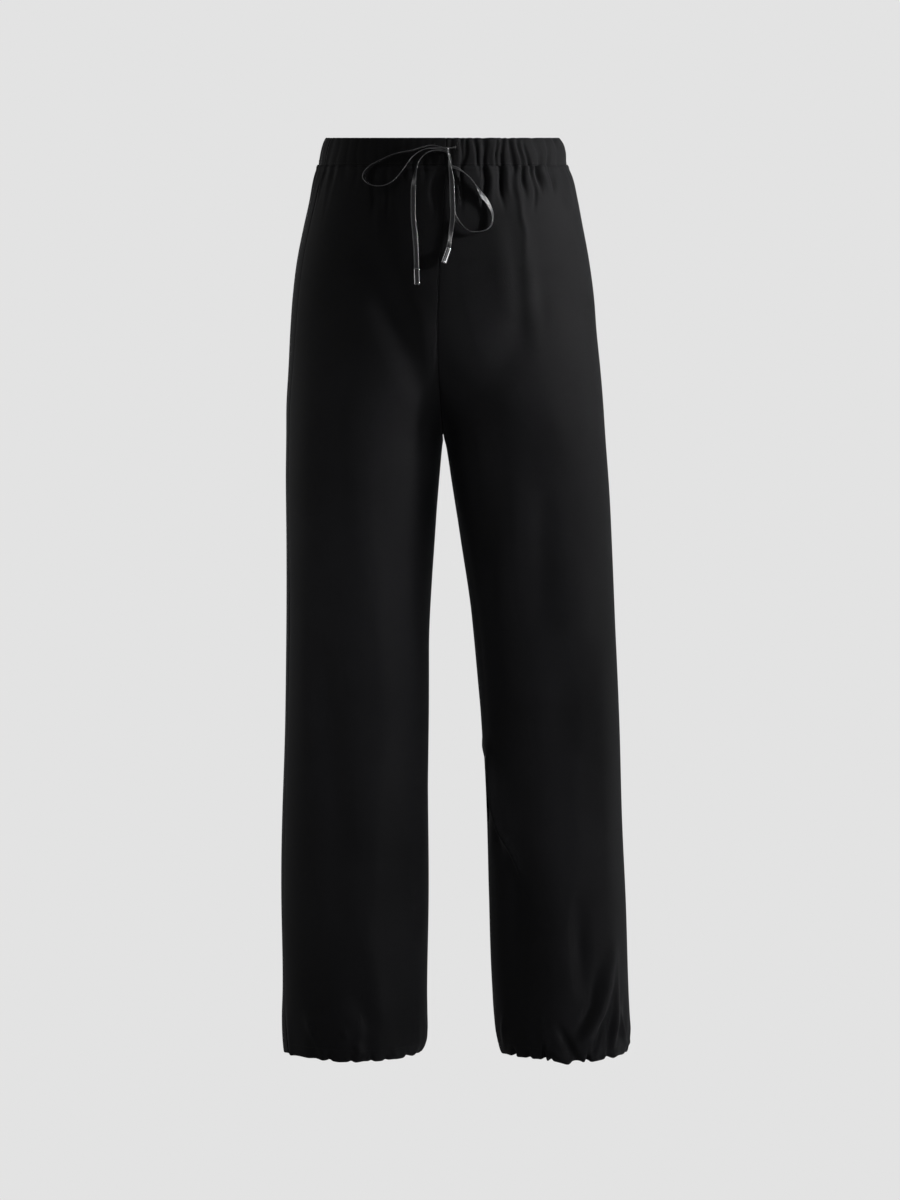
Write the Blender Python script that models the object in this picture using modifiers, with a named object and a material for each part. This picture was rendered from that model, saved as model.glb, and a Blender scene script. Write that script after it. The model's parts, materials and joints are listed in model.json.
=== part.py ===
"""Black drawstring trousers, held open in the form they are worn in.

The script's own unit is the millimetre, and vertices are written in metres. +Z is up, the
front looks towards -Y and the wearer's left is +X. The origin is the middle of the waist,
half way up the waistband at the side, where the wearer holds the trousers up. Each piece of
cloth is a closed wall, worked out from the section tables, the gathers and the folds below.
"""

import math

import bmesh
import bpy
import numpy as np
from mathutils import Vector

MILLIMETRE = 0.001
LEFT = 1
RIGHT = -1
FRONT = 1
BACK = -1

# Cloth and seams
CLOTH_WALL = 1.5
BAND_WALL = 2.4
SEAM_GAP = 0.3
BAND_HEIGHT = 31.0
WAIST_TOP = BAND_HEIGHT / 2

# Levels, as drops below the waist edge at the side
CROTCH_DROP = 342.7
HEM_DROP = 1047.0

# The waist edge dips to the front and rises to the back, as a share of the depth
FRONT_TILT = 0.1325
BACK_TILT = 0.08
TILT_FULL_DROP = 40.0
TILT_END_DROP = 300.0

# Middle of the seat at each drop, which swings a little to the wearer's right
MIDDLE_COLUMNS = ("drop", "x")
MIDDLE_AT_CROTCH = -2.9
MIDDLE_ROWS = (
    (0, 0.6),
    (31, 0.2),
    (90, -2.8),
    (155, -7.0),
    (235, -9.0),
    (295, -6.4),
    (CROTCH_DROP, MIDDLE_AT_CROTCH),
)

# How the two legs part below the waist: 0 is one oval, 1 is two separate tubes
CLEFT_START_DROP = 120.0
CLEFT_POWER = 4

# Below the crotch the gap between the legs first shapes only their inner sides
GAP_SPREAD_DROP = 440.0
GAP_POWER = 4

# Turn of each side seam round its leg, forward of the widest place
SIDE_SEAM_TURN = {RIGHT: math.radians(18), LEFT: math.radians(-8)}

# Outer edge of each side, and depth in front of and behind the side line
GIRTH_COLUMNS = ("drop", "right", "left", "front", "back")
GIRTH_ROWS = (
    (0, -136.8, 129.6, 106.0, 101.0),
    (6, -139.2, 133.6, 107.0, 102.0),
    (16, -141.9, 136.6, 108.0, 104.0),
    (31, -145.0, 138.2, 109.0, 107.0),
    (45, -149.6, 144.2, 110.5, 111.0),
    (72, -156.0, 151.5, 111.5, 117.0),
    (99, -162.3, 156.7, 112.0, 122.0),
    (140, -170.3, 164.1, 112.0, 128.0),
    (182, -175.2, 169.7, 111.5, 131.0),
    (223, -178.0, 172.9, 110.0, 129.5),
    (264, -179.8, 177.2, 107.5, 125.0),
    (305, -181.9, 180.8, 104.5, 118.0),
    (343, -182.1, 183.3, 101.5, 111.0),
    (392, -183.0, 186.5, 98.5, 105.0),
    (468, -183.2, 189.8, 94.5, 98.0),
    (569, -183.2, 194.5, 90.0, 91.5),
    (670, -184.3, 198.8, 87.5, 88.5),
    (771, -186.8, 202.1, 86.0, 88.0),
    (871, -187.9, 206.8, 85.0, 86.5),
    (972, -187.2, 209.8, 84.5, 85.0),
    (1006, -187.4, 211.4, 84.5, 84.5),
    (1023, -186.5, 212.0, 84.0, 84.0),
    (1036, -185.4, 210.5, 82.8, 82.8),
    (1043, -184.6, 208.9, 81.3, 81.3),
    (1047, -184.0, 206.5, 79.5, 79.5),
)

# Inner edge of each leg, from the crotch down
INSEAM_COLUMNS = ("drop", "right", "left")
INSEAM_ROWS = (
    (342.7, -2.9, -2.9),
    (350, -4.0, -0.6),
    (367, -5.7, 2.6),
    (392, -7.7, 6.5),
    (468, -12.9, 18.2),
    (518, -16.3, 25.6),
    (569, -19.2, 31.8),
    (620, -19.8, 37.2),
    (670, -19.9, 41.6),
    (771, -19.8, 46.8),
    (871, -19.7, 50.4),
    (972, -21.5, 53.8),
    (1006, -21.9, 55.6),
    (1023, -22.1, 57.3),
    (1036, -23.6, 60.2),
    (1043, -26.6, 62.3),
    (1047, -29.6, 64.2),
)

# Gathers: number in each quarter of the waist and in each half of a hem
WAIST_GATHERS = 12
HEM_GATHERS = 9
BAND_GATHER_HEIGHT = 0.7
BAND_PUFF = 0.4
WAIST_GATHER_HEIGHT = 1.7
HEM_GATHER_HEIGHT = 2.1
GATHER_SHARPNESS = 1.6
GATHER_MEAN_HEIGHT = 0.68
GATHER_UNEVEN_HEIGHT = 0.32
GATHER_UNEVEN_RATE = 2.4
SEAM_GATHER_SHARE = 0.35
FLAT_FRONT_SHARE = 0.13
FLAT_FRONT_CUT = 0.75

# How each panel's gathers crowd and open along its seam
DRIFT_COLUMNS = ("side", "face", "wide", "middle", "close", "swell")
DRIFT_ROWS = (
    (LEFT, FRONT, 0.26, -0.13, 0.05, 0.4),
    (RIGHT, FRONT, -0.22, 0.12, 0.06, 2.1),
    (LEFT, BACK, 0.18, 0.14, -0.05, 3.3),
    (RIGHT, BACK, -0.25, -0.10, 0.06, 5.0),
)

# Drops between which the gathers below the waist seam fade, and the hem's gathers begin
WAIST_GATHER_FULL = 42.0
WAIST_GATHER_END = 98.0
HEM_GATHER_START = 945.0
HEM_GATHER_FULL = 1032.0

# Largest folds: a line from one place to a lower one, its width, and its height outwards
FOLD_COLUMNS = ("side", "face", "x_top", "top", "x_low", "low", "width", "height")
FOLD_ROWS = (
    (LEFT, FRONT, 83, 71, 102, 250, 11, 2.2),
    (LEFT, FRONT, 60, 92, 74, 215, 16, 1.6),
    (RIGHT, FRONT, -90, 115, -24, 310, 22, -4.5),
    (RIGHT, FRONT, -28, 190, -11, 305, 12, 2.6),
    (LEFT, FRONT, 120, 150, 30, 330, 24, -2.4),
    (RIGHT, FRONT, -152, 470, -112, 900, 18, -4.6),
    (RIGHT, FRONT, -92, 370, -42, 770, 28, 4.6),
    (RIGHT, FRONT, -120, 820, -70, 1000, 22, 3.0),
    (LEFT, FRONT, 78, 385, 66, 570, 18, 3.6),
    (LEFT, FRONT, 140, 470, 142, 610, 24, 3.6),
    (LEFT, FRONT, 44, 700, 88, 862, 10, 3.0),
    (LEFT, FRONT, 72, 790, 76, 985, 18, -5.6),
    (LEFT, FRONT, 176, 560, 186, 1000, 16, 2.8),
    (LEFT, FRONT, 120, 800, 132, 1010, 24, 3.2),
    (RIGHT, BACK, -98, 150, -30, 330, 24, -4.6),
    (LEFT, BACK, 96, 170, 26, 335, 24, -4.2),
    (RIGHT, BACK, -60, 350, -128, 520, 24, -4.4),
    (LEFT, BACK, 54, 360, 130, 500, 22, -4.8),
    (RIGHT, BACK, -140, 560, -52, 640, 20, -4.2),
    (LEFT, BACK, 168, 575, 84, 665, 20, -4.6),
    (RIGHT, BACK, -90, 660, -110, 990, 26, 4.4),
    (LEFT, BACK, 118, 690, 136, 1000, 26, 4.6),
    (RIGHT, BACK, -48, 760, -60, 960, 18, -3.6),
    (LEFT, BACK, 84, 740, 92, 980, 18, -3.8),
)
FOLD_SEAM_SHARE = 0.10
FOLD_END_POWER = 0.8

# Mesh rows, as drops: gathered rows have four columns a gather, plain rows have one
PANEL_COLUMNS = 12
WAIST_ROW_DROPS = (39, 50, 64, 80)
PLAIN_ROW_DROPS = (
    100, 150, 200, 250, 285, 308, 324, 335, CROTCH_DROP,
    354, 376, 412, 460, 520, 585, 650, 715, 780, 845, 900, 945,
)
HEM_ROW_DROPS = (970, 996, 1015, 1029, 1039, HEM_DROP)
BAND_ROW_DROPS = (0, 12, 23, BAND_HEIGHT)

# The drawstring is a flat cord. Each row of a route is a place on the front, how far the
# cord's middle lies off the puffed cloth, how far its face is turned edge-on, and its width.
CORD_THICKNESS = 1.0
CLOTH_PUFF = 0.6
CORD_STEPS = 2
ROUTE_COLUMNS = ("x", "z", "lift", "turn", "width")
RIGHT_END_ROUTE = (
    (-12.4, -10.2, 0.9, 0, 3.0),
    (-9.0, -10.6, 0.9, 0, 2.6),
    (-4.9, -11.6, 0.9, 0, 2.4),
    (1.0, -13.8, 0.9, 0, 2.2),
    (4.2, -21.1, 1.0, 0, 2.4),
    (6.6, -30.6, 1.7, 0, 2.8),
    (13.5, -33.8, 3.2, 45, 3.6),
    (20.7, -38.5, 5.0, 85, 5.0),
    (28.0, -45.1, 5.3, 90, 5.5),
    (35.2, -54.5, 5.2, 60, 5.5),
    (40.2, -62.9, 4.4, 15, 5.5),
    (45.0, -68.8, 4.0, 0, 5.5),
    (49.8, -77.1, 4.0, 0, 5.5),
    (52.2, -83.2, 4.4, 30, 5.5),
    (52.5, -90.5, 5.0, 60, 5.5),
    (51.0, -96.5, 5.1, 80, 5.5),
    (46.2, -101.5, 5.1, 90, 5.5),
    (37.7, -104.1, 5.0, 90, 5.5),
    (26.9, -104.1, 4.8, 90, 5.5),
    (20.7, -100.1, 4.6, 80, 5.5),
    (15.4, -94.7, 4.0, 60, 5.0),
    (10.8, -88.0, 2.8, 20, 4.6),
    (7.4, -77.8, 2.4, 0, 4.4),
    (6.2, -57.8, 2.4, 0, 4.0),
    (6.0, -40.0, 2.9, 0, 3.0),
    (6.0, -27.0, 3.3, 0, 2.4),
    (5.0, -20.0, 3.5, 0, 2.2),
    (2.2, -15.6, 3.5, 0, 2.2),
    (-4.0, -13.7, 3.5, 0, 2.2),
    (-9.3, -13.3, 3.5, 0, 2.2),
    (-16.7, -14.2, 3.6, 10, 2.4),
    (-22.7, -17.5, 4.0, 40, 3.4),
    (-28.7, -23.9, 4.6, 75, 4.6),
    (-32.3, -32.8, 5.2, 80, 5.5),
    (-34.0, -41.3, 5.0, 60, 5.5),
    (-35.6, -50.9, 3.9, 15, 5.5),
    (-36.0, -63.0, 3.2, 0, 5.5),
    (-35.9, -87.2, 2.6, 0, 5.5),
    (-34.4, -105.0, 2.6, 0, 5.5),
    (-33.0, -123.5, 3.0, 0, 5.5),
    (-32.2, -145.4, 3.6, 0, 5.5),
)
LEFT_END_ROUTE = (
    (12.4, -9.4, 0.9, 0, 3.0),
    (9.6, -9.9, 1.8, 0, 2.6),
    (6.0, -10.9, 2.2, 0, 2.4),
    (0.8, -11.0, 2.2, 0, 2.2),
    (-7.0, -9.6, 2.2, 0, 2.2),
    (-15.5, -8.1, 2.5, 10, 2.4),
    (-26.3, -10.0, 3.4, 50, 3.4),
    (-37.2, -13.4, 4.4, 80, 4.6),
    (-46.8, -14.9, 4.8, 86, 5.5),
    (-59.0, -17.4, 5.0, 88, 5.5),
    (-71.2, -22.3, 5.2, 90, 5.5),
    (-83.5, -28.3, 5.6, 80, 5.5),
    (-90.2, -35.1, 5.8, 55, 5.5),
    (-91.8, -39.9, 5.8, 45, 5.5),
    (-89.6, -45.6, 5.8, 60, 5.5),
    (-83.5, -50.2, 5.6, 80, 5.5),
    (-75.5, -52.1, 5.4, 90, 5.5),
    (-67.6, -51.3, 5.2, 90, 5.5),
    (-59.0, -47.2, 5.2, 90, 5.5),
    (-53.0, -41.4, 5.2, 90, 5.5),
    (-46.8, -33.7, 5.2, 90, 5.5),
    (-42.0, -26.6, 5.1, 88, 5.0),
    (-36.0, -19.5, 4.9, 75, 4.2),
    (-27.5, -13.7, 4.8, 30, 3.2),
    (-19.5, -11.3, 4.8, 5, 2.6),
    (-9.3, -11.4, 4.8, 0, 2.4),
    (-1.5, -12.2, 4.8, 0, 2.2),
    (2.6, -15.2, 4.8, 0, 2.2),
    (4.0, -21.5, 4.8, 0, 2.4),
    (4.8, -30.9, 4.8, 10, 3.2),
    (5.8, -38.0, 4.6, 5, 4.2),
    (6.7, -46.0, 4.4, 0, 5.5),
    (7.5, -63.4, 4.2, 0, 5.5),
    (8.2, -81.5, 4.1, 0, 5.5),
    (7.5, -93.5, 3.8, 0, 5.5),
    (6.3, -103.2, 3.4, 5, 5.5),
    (5.0, -111.7, 3.2, 35, 5.0),
    (4.4, -117.0, 3.3, 20, 4.8),
    (3.4, -122.4, 3.6, 0, 5.0),
)

# Metal tips on the two tails
TIP_LENGTH = 17.5
TIP_RADIUS = 2.8
TIP_SIDES = 16
TIP_EDGE = 0.5

# Finish of each kind of piece: colour, roughness and metallic value
FINISH_COLUMNS = ("colour", "roughness", "metallic")
FINISHES = {
    "cloth_black": ((0.010, 0.010, 0.011, 1.0), 0.72, 0.0),
    "waistband_black": ((0.009, 0.009, 0.010, 1.0), 0.75, 0.0),
    "cord_black": ((0.016, 0.016, 0.018, 1.0), 0.38, 0.0),
    "tip_metal": ((0.78, 0.78, 0.80, 1.0), 0.16, 1.0),
}


def smooth_reader(columns, rows, name):
    """Gives a function that reads one column of a table as a smooth curve through its rows."""
    at = np.array([row[0] for row in rows], dtype=float)
    value = np.array([row[columns.index(name)] for row in rows], dtype=float)
    slope = np.gradient(value, at)

    def read(place):
        row = np.clip(np.searchsorted(at, place, side="right") - 1, 0, len(at) - 2)
        width = at[row + 1] - at[row]
        share = np.clip((place - at[row]) / width, 0.0, 1.0)
        rest = 1.0 - share
        start = rest * rest * (1.0 + 2.0 * share) * value[row]
        finish = share * share * (1.0 + 2.0 * rest) * value[row + 1]
        bend = width * share * rest * (rest * slope[row] - share * slope[row + 1])
        return start + finish + bend

    return read


OUTER_EDGE = {
    RIGHT: smooth_reader(GIRTH_COLUMNS, GIRTH_ROWS, "right"),
    LEFT: smooth_reader(GIRTH_COLUMNS, GIRTH_ROWS, "left"),
}
DEPTH = {
    FRONT: smooth_reader(GIRTH_COLUMNS, GIRTH_ROWS, "front"),
    BACK: smooth_reader(GIRTH_COLUMNS, GIRTH_ROWS, "back"),
}
INSEAM_EDGE = {
    RIGHT: smooth_reader(INSEAM_COLUMNS, INSEAM_ROWS, "right"),
    LEFT: smooth_reader(INSEAM_COLUMNS, INSEAM_ROWS, "left"),
}
middle = smooth_reader(MIDDLE_COLUMNS, MIDDLE_ROWS, "x")
DRIFTS = {(row[0], row[1]): dict(zip(DRIFT_COLUMNS, row)) for row in DRIFT_ROWS}


def ease(value, start, end):
    """Goes smoothly from 0 at start to 1 at end."""
    share = np.clip((value - start) / (end - start), 0.0, 1.0)
    return share * share * (3.0 - 2.0 * share)


def gap_side(side, drop):
    """How far a leg's inseam lies off the middle."""
    return np.where(drop <= CROTCH_DROP, 0.0, INSEAM_EDGE[side](drop) - MIDDLE_AT_CROTCH)


def inner_edge(side, drop):
    """The x where a side's oval starts: the middle, which turns into the inseam."""
    return middle(drop) + gap_side(side, drop) * ease(drop, CROTCH_DROP, GAP_SPREAD_DROP)


def cleft(drop):
    """How far the two sides have parted into legs, from 0 to 1."""
    share = (drop - CLEFT_START_DROP) / (CROTCH_DROP - CLEFT_START_DROP)
    return 1.0 - (1.0 - np.clip(share, 0.0, 1.0) ** CLEFT_POWER) ** 2


def side_radius(side, drop):
    """Half the width of a side's oval."""
    width = np.abs(OUTER_EDGE[side](drop) - inner_edge(side, drop))
    return width / (1.0 + cleft(drop))


def waist_tilt(depth, drop):
    """How far a place is lowered at the front, or raised at the back, by the tilted waist."""
    tilt = np.where(depth < 0.0, FRONT_TILT, BACK_TILT)
    return tilt * depth * (1.0 - ease(drop, TILT_FULL_DROP, TILT_END_DROP))


def outside(side, turn, drop):
    """Point on the smooth outside. Turn 0 is the side, and a positive turn goes to the front."""
    level = np.cos(turn)
    x = inner_edge(side, drop) + side * side_radius(side, drop) * (cleft(drop) + level)
    near_gap = ((1.0 - level) / 2) ** GAP_POWER * (1.0 - ease(drop, CROTCH_DROP, GAP_SPREAD_DROP))
    x = x + gap_side(side, drop) * near_gap
    reach = np.where(turn > 0.0, DEPTH[FRONT](drop), DEPTH[BACK](drop))
    y = -reach * np.sin(turn)
    z = WAIST_TOP - drop + waist_tilt(y, drop)
    return np.stack(np.broadcast_arrays(x, y, z), axis=-1)


def outward(side, turn, drop):
    """Direction straight out of the smooth outside."""
    turn_step = 0.002
    drop_step = 0.5
    along = outside(side, turn + turn_step, drop) - outside(side, turn - turn_step, drop)
    down = outside(side, turn, drop + drop_step) - outside(side, turn, drop - drop_step)
    normal = side * np.cross(along, down)
    return normal / np.linalg.norm(normal, axis=-1, keepdims=True)


def panel_turn(side, face, across, drop):
    """Turn at a share of the way across a panel, from its side seam to its inner seam."""
    seam = SIDE_SEAM_TURN[side]
    end = face * np.arccos(-cleft(drop))
    speed = np.hypot(side_radius(side, drop) * math.sin(seam), DEPTH[face](drop) * math.cos(seam))
    clear = face * (SEAM_GAP / 2) / speed
    return seam + (end - seam) * across + clear * (1.0 - across)


def gather_phase(side, face, across, count):
    """Counts the gathers across a panel, unevenly spaced."""
    drift = DRIFTS[side, face]
    turn = math.pi * across
    phase = count * across + drift["wide"] * np.sin(3 * turn)
    return phase + drift["middle"] * np.sin(5 * turn) + drift["close"] * np.sin(8 * turn)


def gather_columns(side, face, count, per_gather):
    """Shares across a panel that fall on the valleys, sides and crests of its gathers."""
    fine = np.linspace(0.0, 1.0, 2001)
    phase = gather_phase(side, face, fine, count)
    wanted = np.arange(count * per_gather + 1) / per_gather
    return np.interp(wanted, phase, fine)


def gather_wave(side, face, across, count):
    """One gather after another: narrow valleys, round crests and uneven heights."""
    phase = gather_phase(side, face, across, count)
    swell = np.sin(GATHER_UNEVEN_RATE * phase + DRIFTS[side, face]["swell"])
    height = GATHER_MEAN_HEIGHT + GATHER_UNEVEN_HEIGHT * swell
    return height * (1.0 - 2.0 * np.abs(np.cos(math.pi * phase)) ** GATHER_SHARPNESS)


def flat_front(face, across):
    """The waist is nearly smooth beside the centre front."""
    if face == BACK:
        return 1.0
    return 1.0 - FLAT_FRONT_CUT * np.exp(-(((1.0 - across) / FLAT_FRONT_SHARE) ** 2))


def gather_relief(side, face, across, drop):
    """Height of the waist's and the hem's gathers."""
    rise = ease(drop, BAND_HEIGHT, WAIST_GATHER_FULL)
    rise = SEAM_GATHER_SHARE + (1.0 - SEAM_GATHER_SHARE) * rise
    waist = WAIST_GATHER_HEIGHT * rise * (1.0 - ease(drop, WAIST_GATHER_FULL, WAIST_GATHER_END))
    hem = HEM_GATHER_HEIGHT * ease(drop, HEM_GATHER_START, HEM_GATHER_FULL)
    upper = waist * flat_front(face, across) * gather_wave(side, face, across, WAIST_GATHERS)
    return upper + hem * gather_wave(side, face, across, HEM_GATHERS)


def fold_relief(side, face, across, x, drop):
    """Height of the large folds, which die out at the side seam and the inner seam."""
    total = np.zeros(np.broadcast(x, drop).shape)
    for row in FOLD_ROWS:
        fold = dict(zip(FOLD_COLUMNS, row))
        if (fold["side"], fold["face"]) != (side, face):
            continue
        share = (drop - fold["top"]) / (fold["low"] - fold["top"])
        inside = np.clip(share, 0.0, 1.0)
        line = fold["x_top"] + (fold["x_low"] - fold["x_top"]) * inside
        total += (
            fold["height"]
            * np.sin(math.pi * inside) ** FOLD_END_POWER
            * np.exp(-(((x - line) / fold["width"]) ** 2))
        )
    return total * ease(across, 0.0, FOLD_SEAM_SHARE) * ease(1.0 - across, 0.0, FOLD_SEAM_SHARE)


def keep_apart(side, face, points, drop, across):
    """Holds a panel's edge half a seam gap off the middle and off the inseam."""
    half = SEAM_GAP / 2
    if drop <= CROTCH_DROP:
        plane = float(middle(drop))
        points[:, 0] = plane + side * np.maximum(side * (points[:, 0] - plane), half)
    last = across > 0.999
    points[last, 1] = -face * np.maximum(-face * points[last, 1], half)
    return points


def panel_row(side, face, drop, across, wall):
    """Outer and inner points of one row of a leg panel."""
    turn = panel_turn(side, face, across, drop)
    base = outside(side, turn, drop)
    normal = outward(side, turn, drop)
    relief = gather_relief(side, face, across, drop)
    relief = relief + fold_relief(side, face, across, base[:, 0], drop)
    outer = base + normal * relief[:, None]
    inner = outer - normal * wall
    outer = keep_apart(side, face, outer, drop, across)
    inner = keep_apart(side, face, inner, drop, across)
    return outer, inner


def band_row(side, face, drop, across):
    """Outer and inner points of one row of the waistband: the inside is plain."""
    turn = panel_turn(side, face, across, drop)
    base = outside(side, turn, drop)
    normal = outward(side, turn, drop)
    puff = math.sin(math.pi * drop / BAND_HEIGHT)
    ripple = flat_front(face, across) * gather_wave(side, face, across, WAIST_GATHERS)
    outer = base + normal * (BAND_GATHER_HEIGHT * ripple + BAND_PUFF * puff)[:, None]
    inner = base - normal * BAND_WALL
    outer = keep_apart(side, face, outer, drop, across)
    inner = keep_apart(side, face, inner, drop, across)
    return outer, inner


def material_for(name):
    """Makes a Principled material from the finish table."""
    finish = dict(zip(FINISH_COLUMNS, FINISHES[name]))
    material = bpy.data.materials.new(name)
    material.use_nodes = True
    shader = material.node_tree.nodes["Principled BSDF"]
    shader.inputs["Base Color"].default_value = finish["colour"]
    shader.inputs["Roughness"].default_value = finish["roughness"]
    shader.inputs["Metallic"].default_value = finish["metallic"]
    return material


def object_from(mesh_builder, name, finish, collection):
    """Turns a bmesh into a smooth-shaded object in the collection."""
    bmesh.ops.recalc_face_normals(mesh_builder, faces=mesh_builder.faces)
    mesh = bpy.data.meshes.new(name)
    mesh_builder.to_mesh(mesh)
    mesh_builder.free()
    mesh.shade_smooth()
    mesh.set_sharp_from_angle(angle=math.radians(40))
    mesh.materials.append(bpy.data.materials[finish])
    made = bpy.data.objects.new(name, mesh)
    collection.objects.link(made)
    return made


def stitch_rows(builder, first, second):
    """Fills the strip between two rows, of which one may be several times as fine."""
    if len(first) == len(second):
        for at in range(len(first) - 1):
            builder.faces.new((first[at], first[at + 1], second[at + 1], second[at]))
        return
    fine, coarse = (first, second) if len(first) > len(second) else (second, first)
    ratio = (len(fine) - 1) // (len(coarse) - 1)
    half = ratio // 2
    for at in range(len(coarse) - 1):
        here, there = coarse[at], coarse[at + 1]
        run = fine[at * ratio:(at + 1) * ratio + 1]
        for step in range(half):
            builder.faces.new((here, run[step], run[step + 1]))
        builder.faces.new((here, run[half], there))
        for step in range(half, ratio):
            builder.faces.new((there, run[step], run[step + 1]))


def wall_from_rows(name, outer_rows, inner_rows, finish, collection):
    """Closes a wall of cloth over its outer and inner rows."""
    builder = bmesh.new()
    outer = [[builder.verts.new(point * MILLIMETRE) for point in row] for row in outer_rows]
    inner = [[builder.verts.new(point * MILLIMETRE) for point in row] for row in inner_rows]
    for rows in (outer, inner):
        for upper, lower in zip(rows, rows[1:]):
            stitch_rows(builder, upper, lower)
    stitch_rows(builder, outer[0], inner[0])
    stitch_rows(builder, outer[-1], inner[-1])
    for end in (0, -1):
        outer_edge = [row[end] for row in outer]
        inner_edge_points = [row[end] for row in inner]
        if len(outer) == len(inner):
            stitch_rows(builder, outer_edge, inner_edge_points)
        else:
            builder.faces.new(outer_edge + inner_edge_points[::-1])
    return object_from(builder, name, finish, collection)


def leg_panel(name, side, face, collection):
    """Half of a leg with its half of the seat, from the waist seam to the hem."""
    gathered = gather_columns(side, face, WAIST_GATHERS, 4)
    hemmed = gather_columns(side, face, HEM_GATHERS, 4)
    plain = np.linspace(0.0, 1.0, PANEL_COLUMNS + 1)
    drops = [(BAND_HEIGHT + SEAM_GAP, gathered)]
    drops += [(drop, gathered) for drop in WAIST_ROW_DROPS]
    drops += [(drop, plain) for drop in PLAIN_ROW_DROPS]
    drops += [(drop, hemmed) for drop in HEM_ROW_DROPS]
    rows = [panel_row(side, face, drop, across, CLOTH_WALL) for drop, across in drops]
    outer_rows = [outer for outer, _ in rows]
    inner_rows = [inner for _, inner in rows]
    return wall_from_rows(name, outer_rows, inner_rows, "cloth_black", collection)


def band_rows(side, face, drops, across):
    """Outer and inner rows of one quarter of the waistband."""
    rows = [band_row(side, face, drop, across) for drop in drops]
    return [outer for outer, _ in rows], [inner for _, inner in rows]


def front_band(name, side, collection):
    """One front half of the waistband, from the side seam to the centre front."""
    fine = gather_columns(side, FRONT, WAIST_GATHERS, 4)
    plain = gather_columns(side, FRONT, WAIST_GATHERS, 2)
    outer_rows, _ = band_rows(side, FRONT, BAND_ROW_DROPS, fine)
    _, inner_rows = band_rows(side, FRONT, (BAND_ROW_DROPS[0], BAND_ROW_DROPS[-1]), plain)
    return wall_from_rows(name, outer_rows, inner_rows, "waistband_black", collection)


def joined_at_back(right_rows, left_rows):
    """Runs rows from the right side seam round the back to the left side seam."""
    joined = []
    for right, left in zip(right_rows, left_rows):
        shared = (right[-1:] + left[-1:]) / 2
        joined.append(np.concatenate((right[:-1], shared, left[-2::-1])))
    return joined


def back_band(name, collection):
    """The back of the waistband, in one piece from side seam to side seam."""
    ends = (BAND_ROW_DROPS[0], BAND_ROW_DROPS[-1])
    outer = {}
    inner = {}
    for side in (RIGHT, LEFT):
        fine = gather_columns(side, BACK, WAIST_GATHERS, 4)
        plain = gather_columns(side, BACK, WAIST_GATHERS, 2)
        outer[side], _ = band_rows(side, BACK, BAND_ROW_DROPS, fine)
        _, inner[side] = band_rows(side, BACK, ends, plain)
    outer_rows = joined_at_back(outer[RIGHT], outer[LEFT])
    inner_rows = joined_at_back(inner[RIGHT], inner[LEFT])
    return wall_from_rows(name, outer_rows, inner_rows, "waistband_black", collection)


def front_surface(x, z):
    """Point on the smooth front of the trousers at an x and a z."""
    drop = WAIST_TOP - z
    for _ in range(6):
        side = LEFT if x > middle(drop) else RIGHT
        level = side * (x - inner_edge(side, drop)) / side_radius(side, drop) - cleft(drop)
        turn = np.arccos(np.clip(level, -1.0, 1.0))
        depth = -DEPTH[FRONT](drop) * np.sin(turn)
        drop = WAIST_TOP - z + waist_tilt(depth, drop)
    return np.array((x, float(depth), z))


def smooth_route(route):
    """Reads a route as a smooth curve: places, edge-on turns and widths."""
    table = dict(zip(ROUTE_COLUMNS, np.array(route, dtype=float).T))
    places = np.array([front_surface(x, z) for x, z in zip(table["x"], table["z"])])
    places[:, 1] -= table["lift"] + CLOTH_PUFF
    values = np.column_stack((places, table["turn"], table["width"]))
    reach = np.linalg.norm(np.diff(places, axis=0), axis=1) ** 0.5
    knots = np.concatenate(([0.0], np.cumsum(reach)))
    slopes = np.array([np.gradient(column, knots) for column in values.T]).T
    curve = []
    for at in range(len(values) - 1):
        span = knots[at + 1] - knots[at]
        for step in range(CORD_STEPS):
            share = step / CORD_STEPS
            rest = 1.0 - share
            point = rest * rest * (1.0 + 2.0 * share) * values[at]
            point = point + share * share * (1.0 + 2.0 * rest) * values[at + 1]
            point = point + span * share * rest * (rest * slopes[at] - share * slopes[at + 1])
            curve.append(point)
    curve.append(values[-1])
    return np.array(curve)


def flat_cord(name, route, collection):
    """A flat cord along its route, as a closed strip with square ends."""
    curve = smooth_route(route)
    places = [Vector(point) for point in curve[:, :3]]
    facing = Vector((0.0, -1.0, 0.0))
    builder = bmesh.new()
    rings = []
    for at, place in enumerate(places):
        ahead = places[min(at + 1, len(places) - 1)]
        behind = places[max(at - 1, 0)]
        along = (ahead - behind).normalized()
        out = (facing - along * facing.dot(along)).normalized()
        across = along.cross(out)
        turn = math.radians(curve[at, 3])
        broad = across * math.cos(turn) + out * math.sin(turn)
        thin = along.cross(broad)
        half_width = broad * (curve[at, 4] / 2)
        half_thick = thin * (CORD_THICKNESS / 2)
        corners = (
            place + half_width + half_thick,
            place - half_width + half_thick,
            place - half_width - half_thick,
            place + half_width - half_thick,
        )
        rings.append([builder.verts.new(corner * MILLIMETRE) for corner in corners])
    for ring, following in zip(rings, rings[1:]):
        for at in range(len(ring)):
            beside = (at + 1) % len(ring)
            builder.faces.new((ring[at], ring[beside], following[beside], following[at]))
    builder.faces.new(rings[0])
    builder.faces.new(rings[-1])
    object_from(builder, name, "cord_black", collection)
    return places[-1], (places[-1] - places[-2]).normalized()


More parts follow.
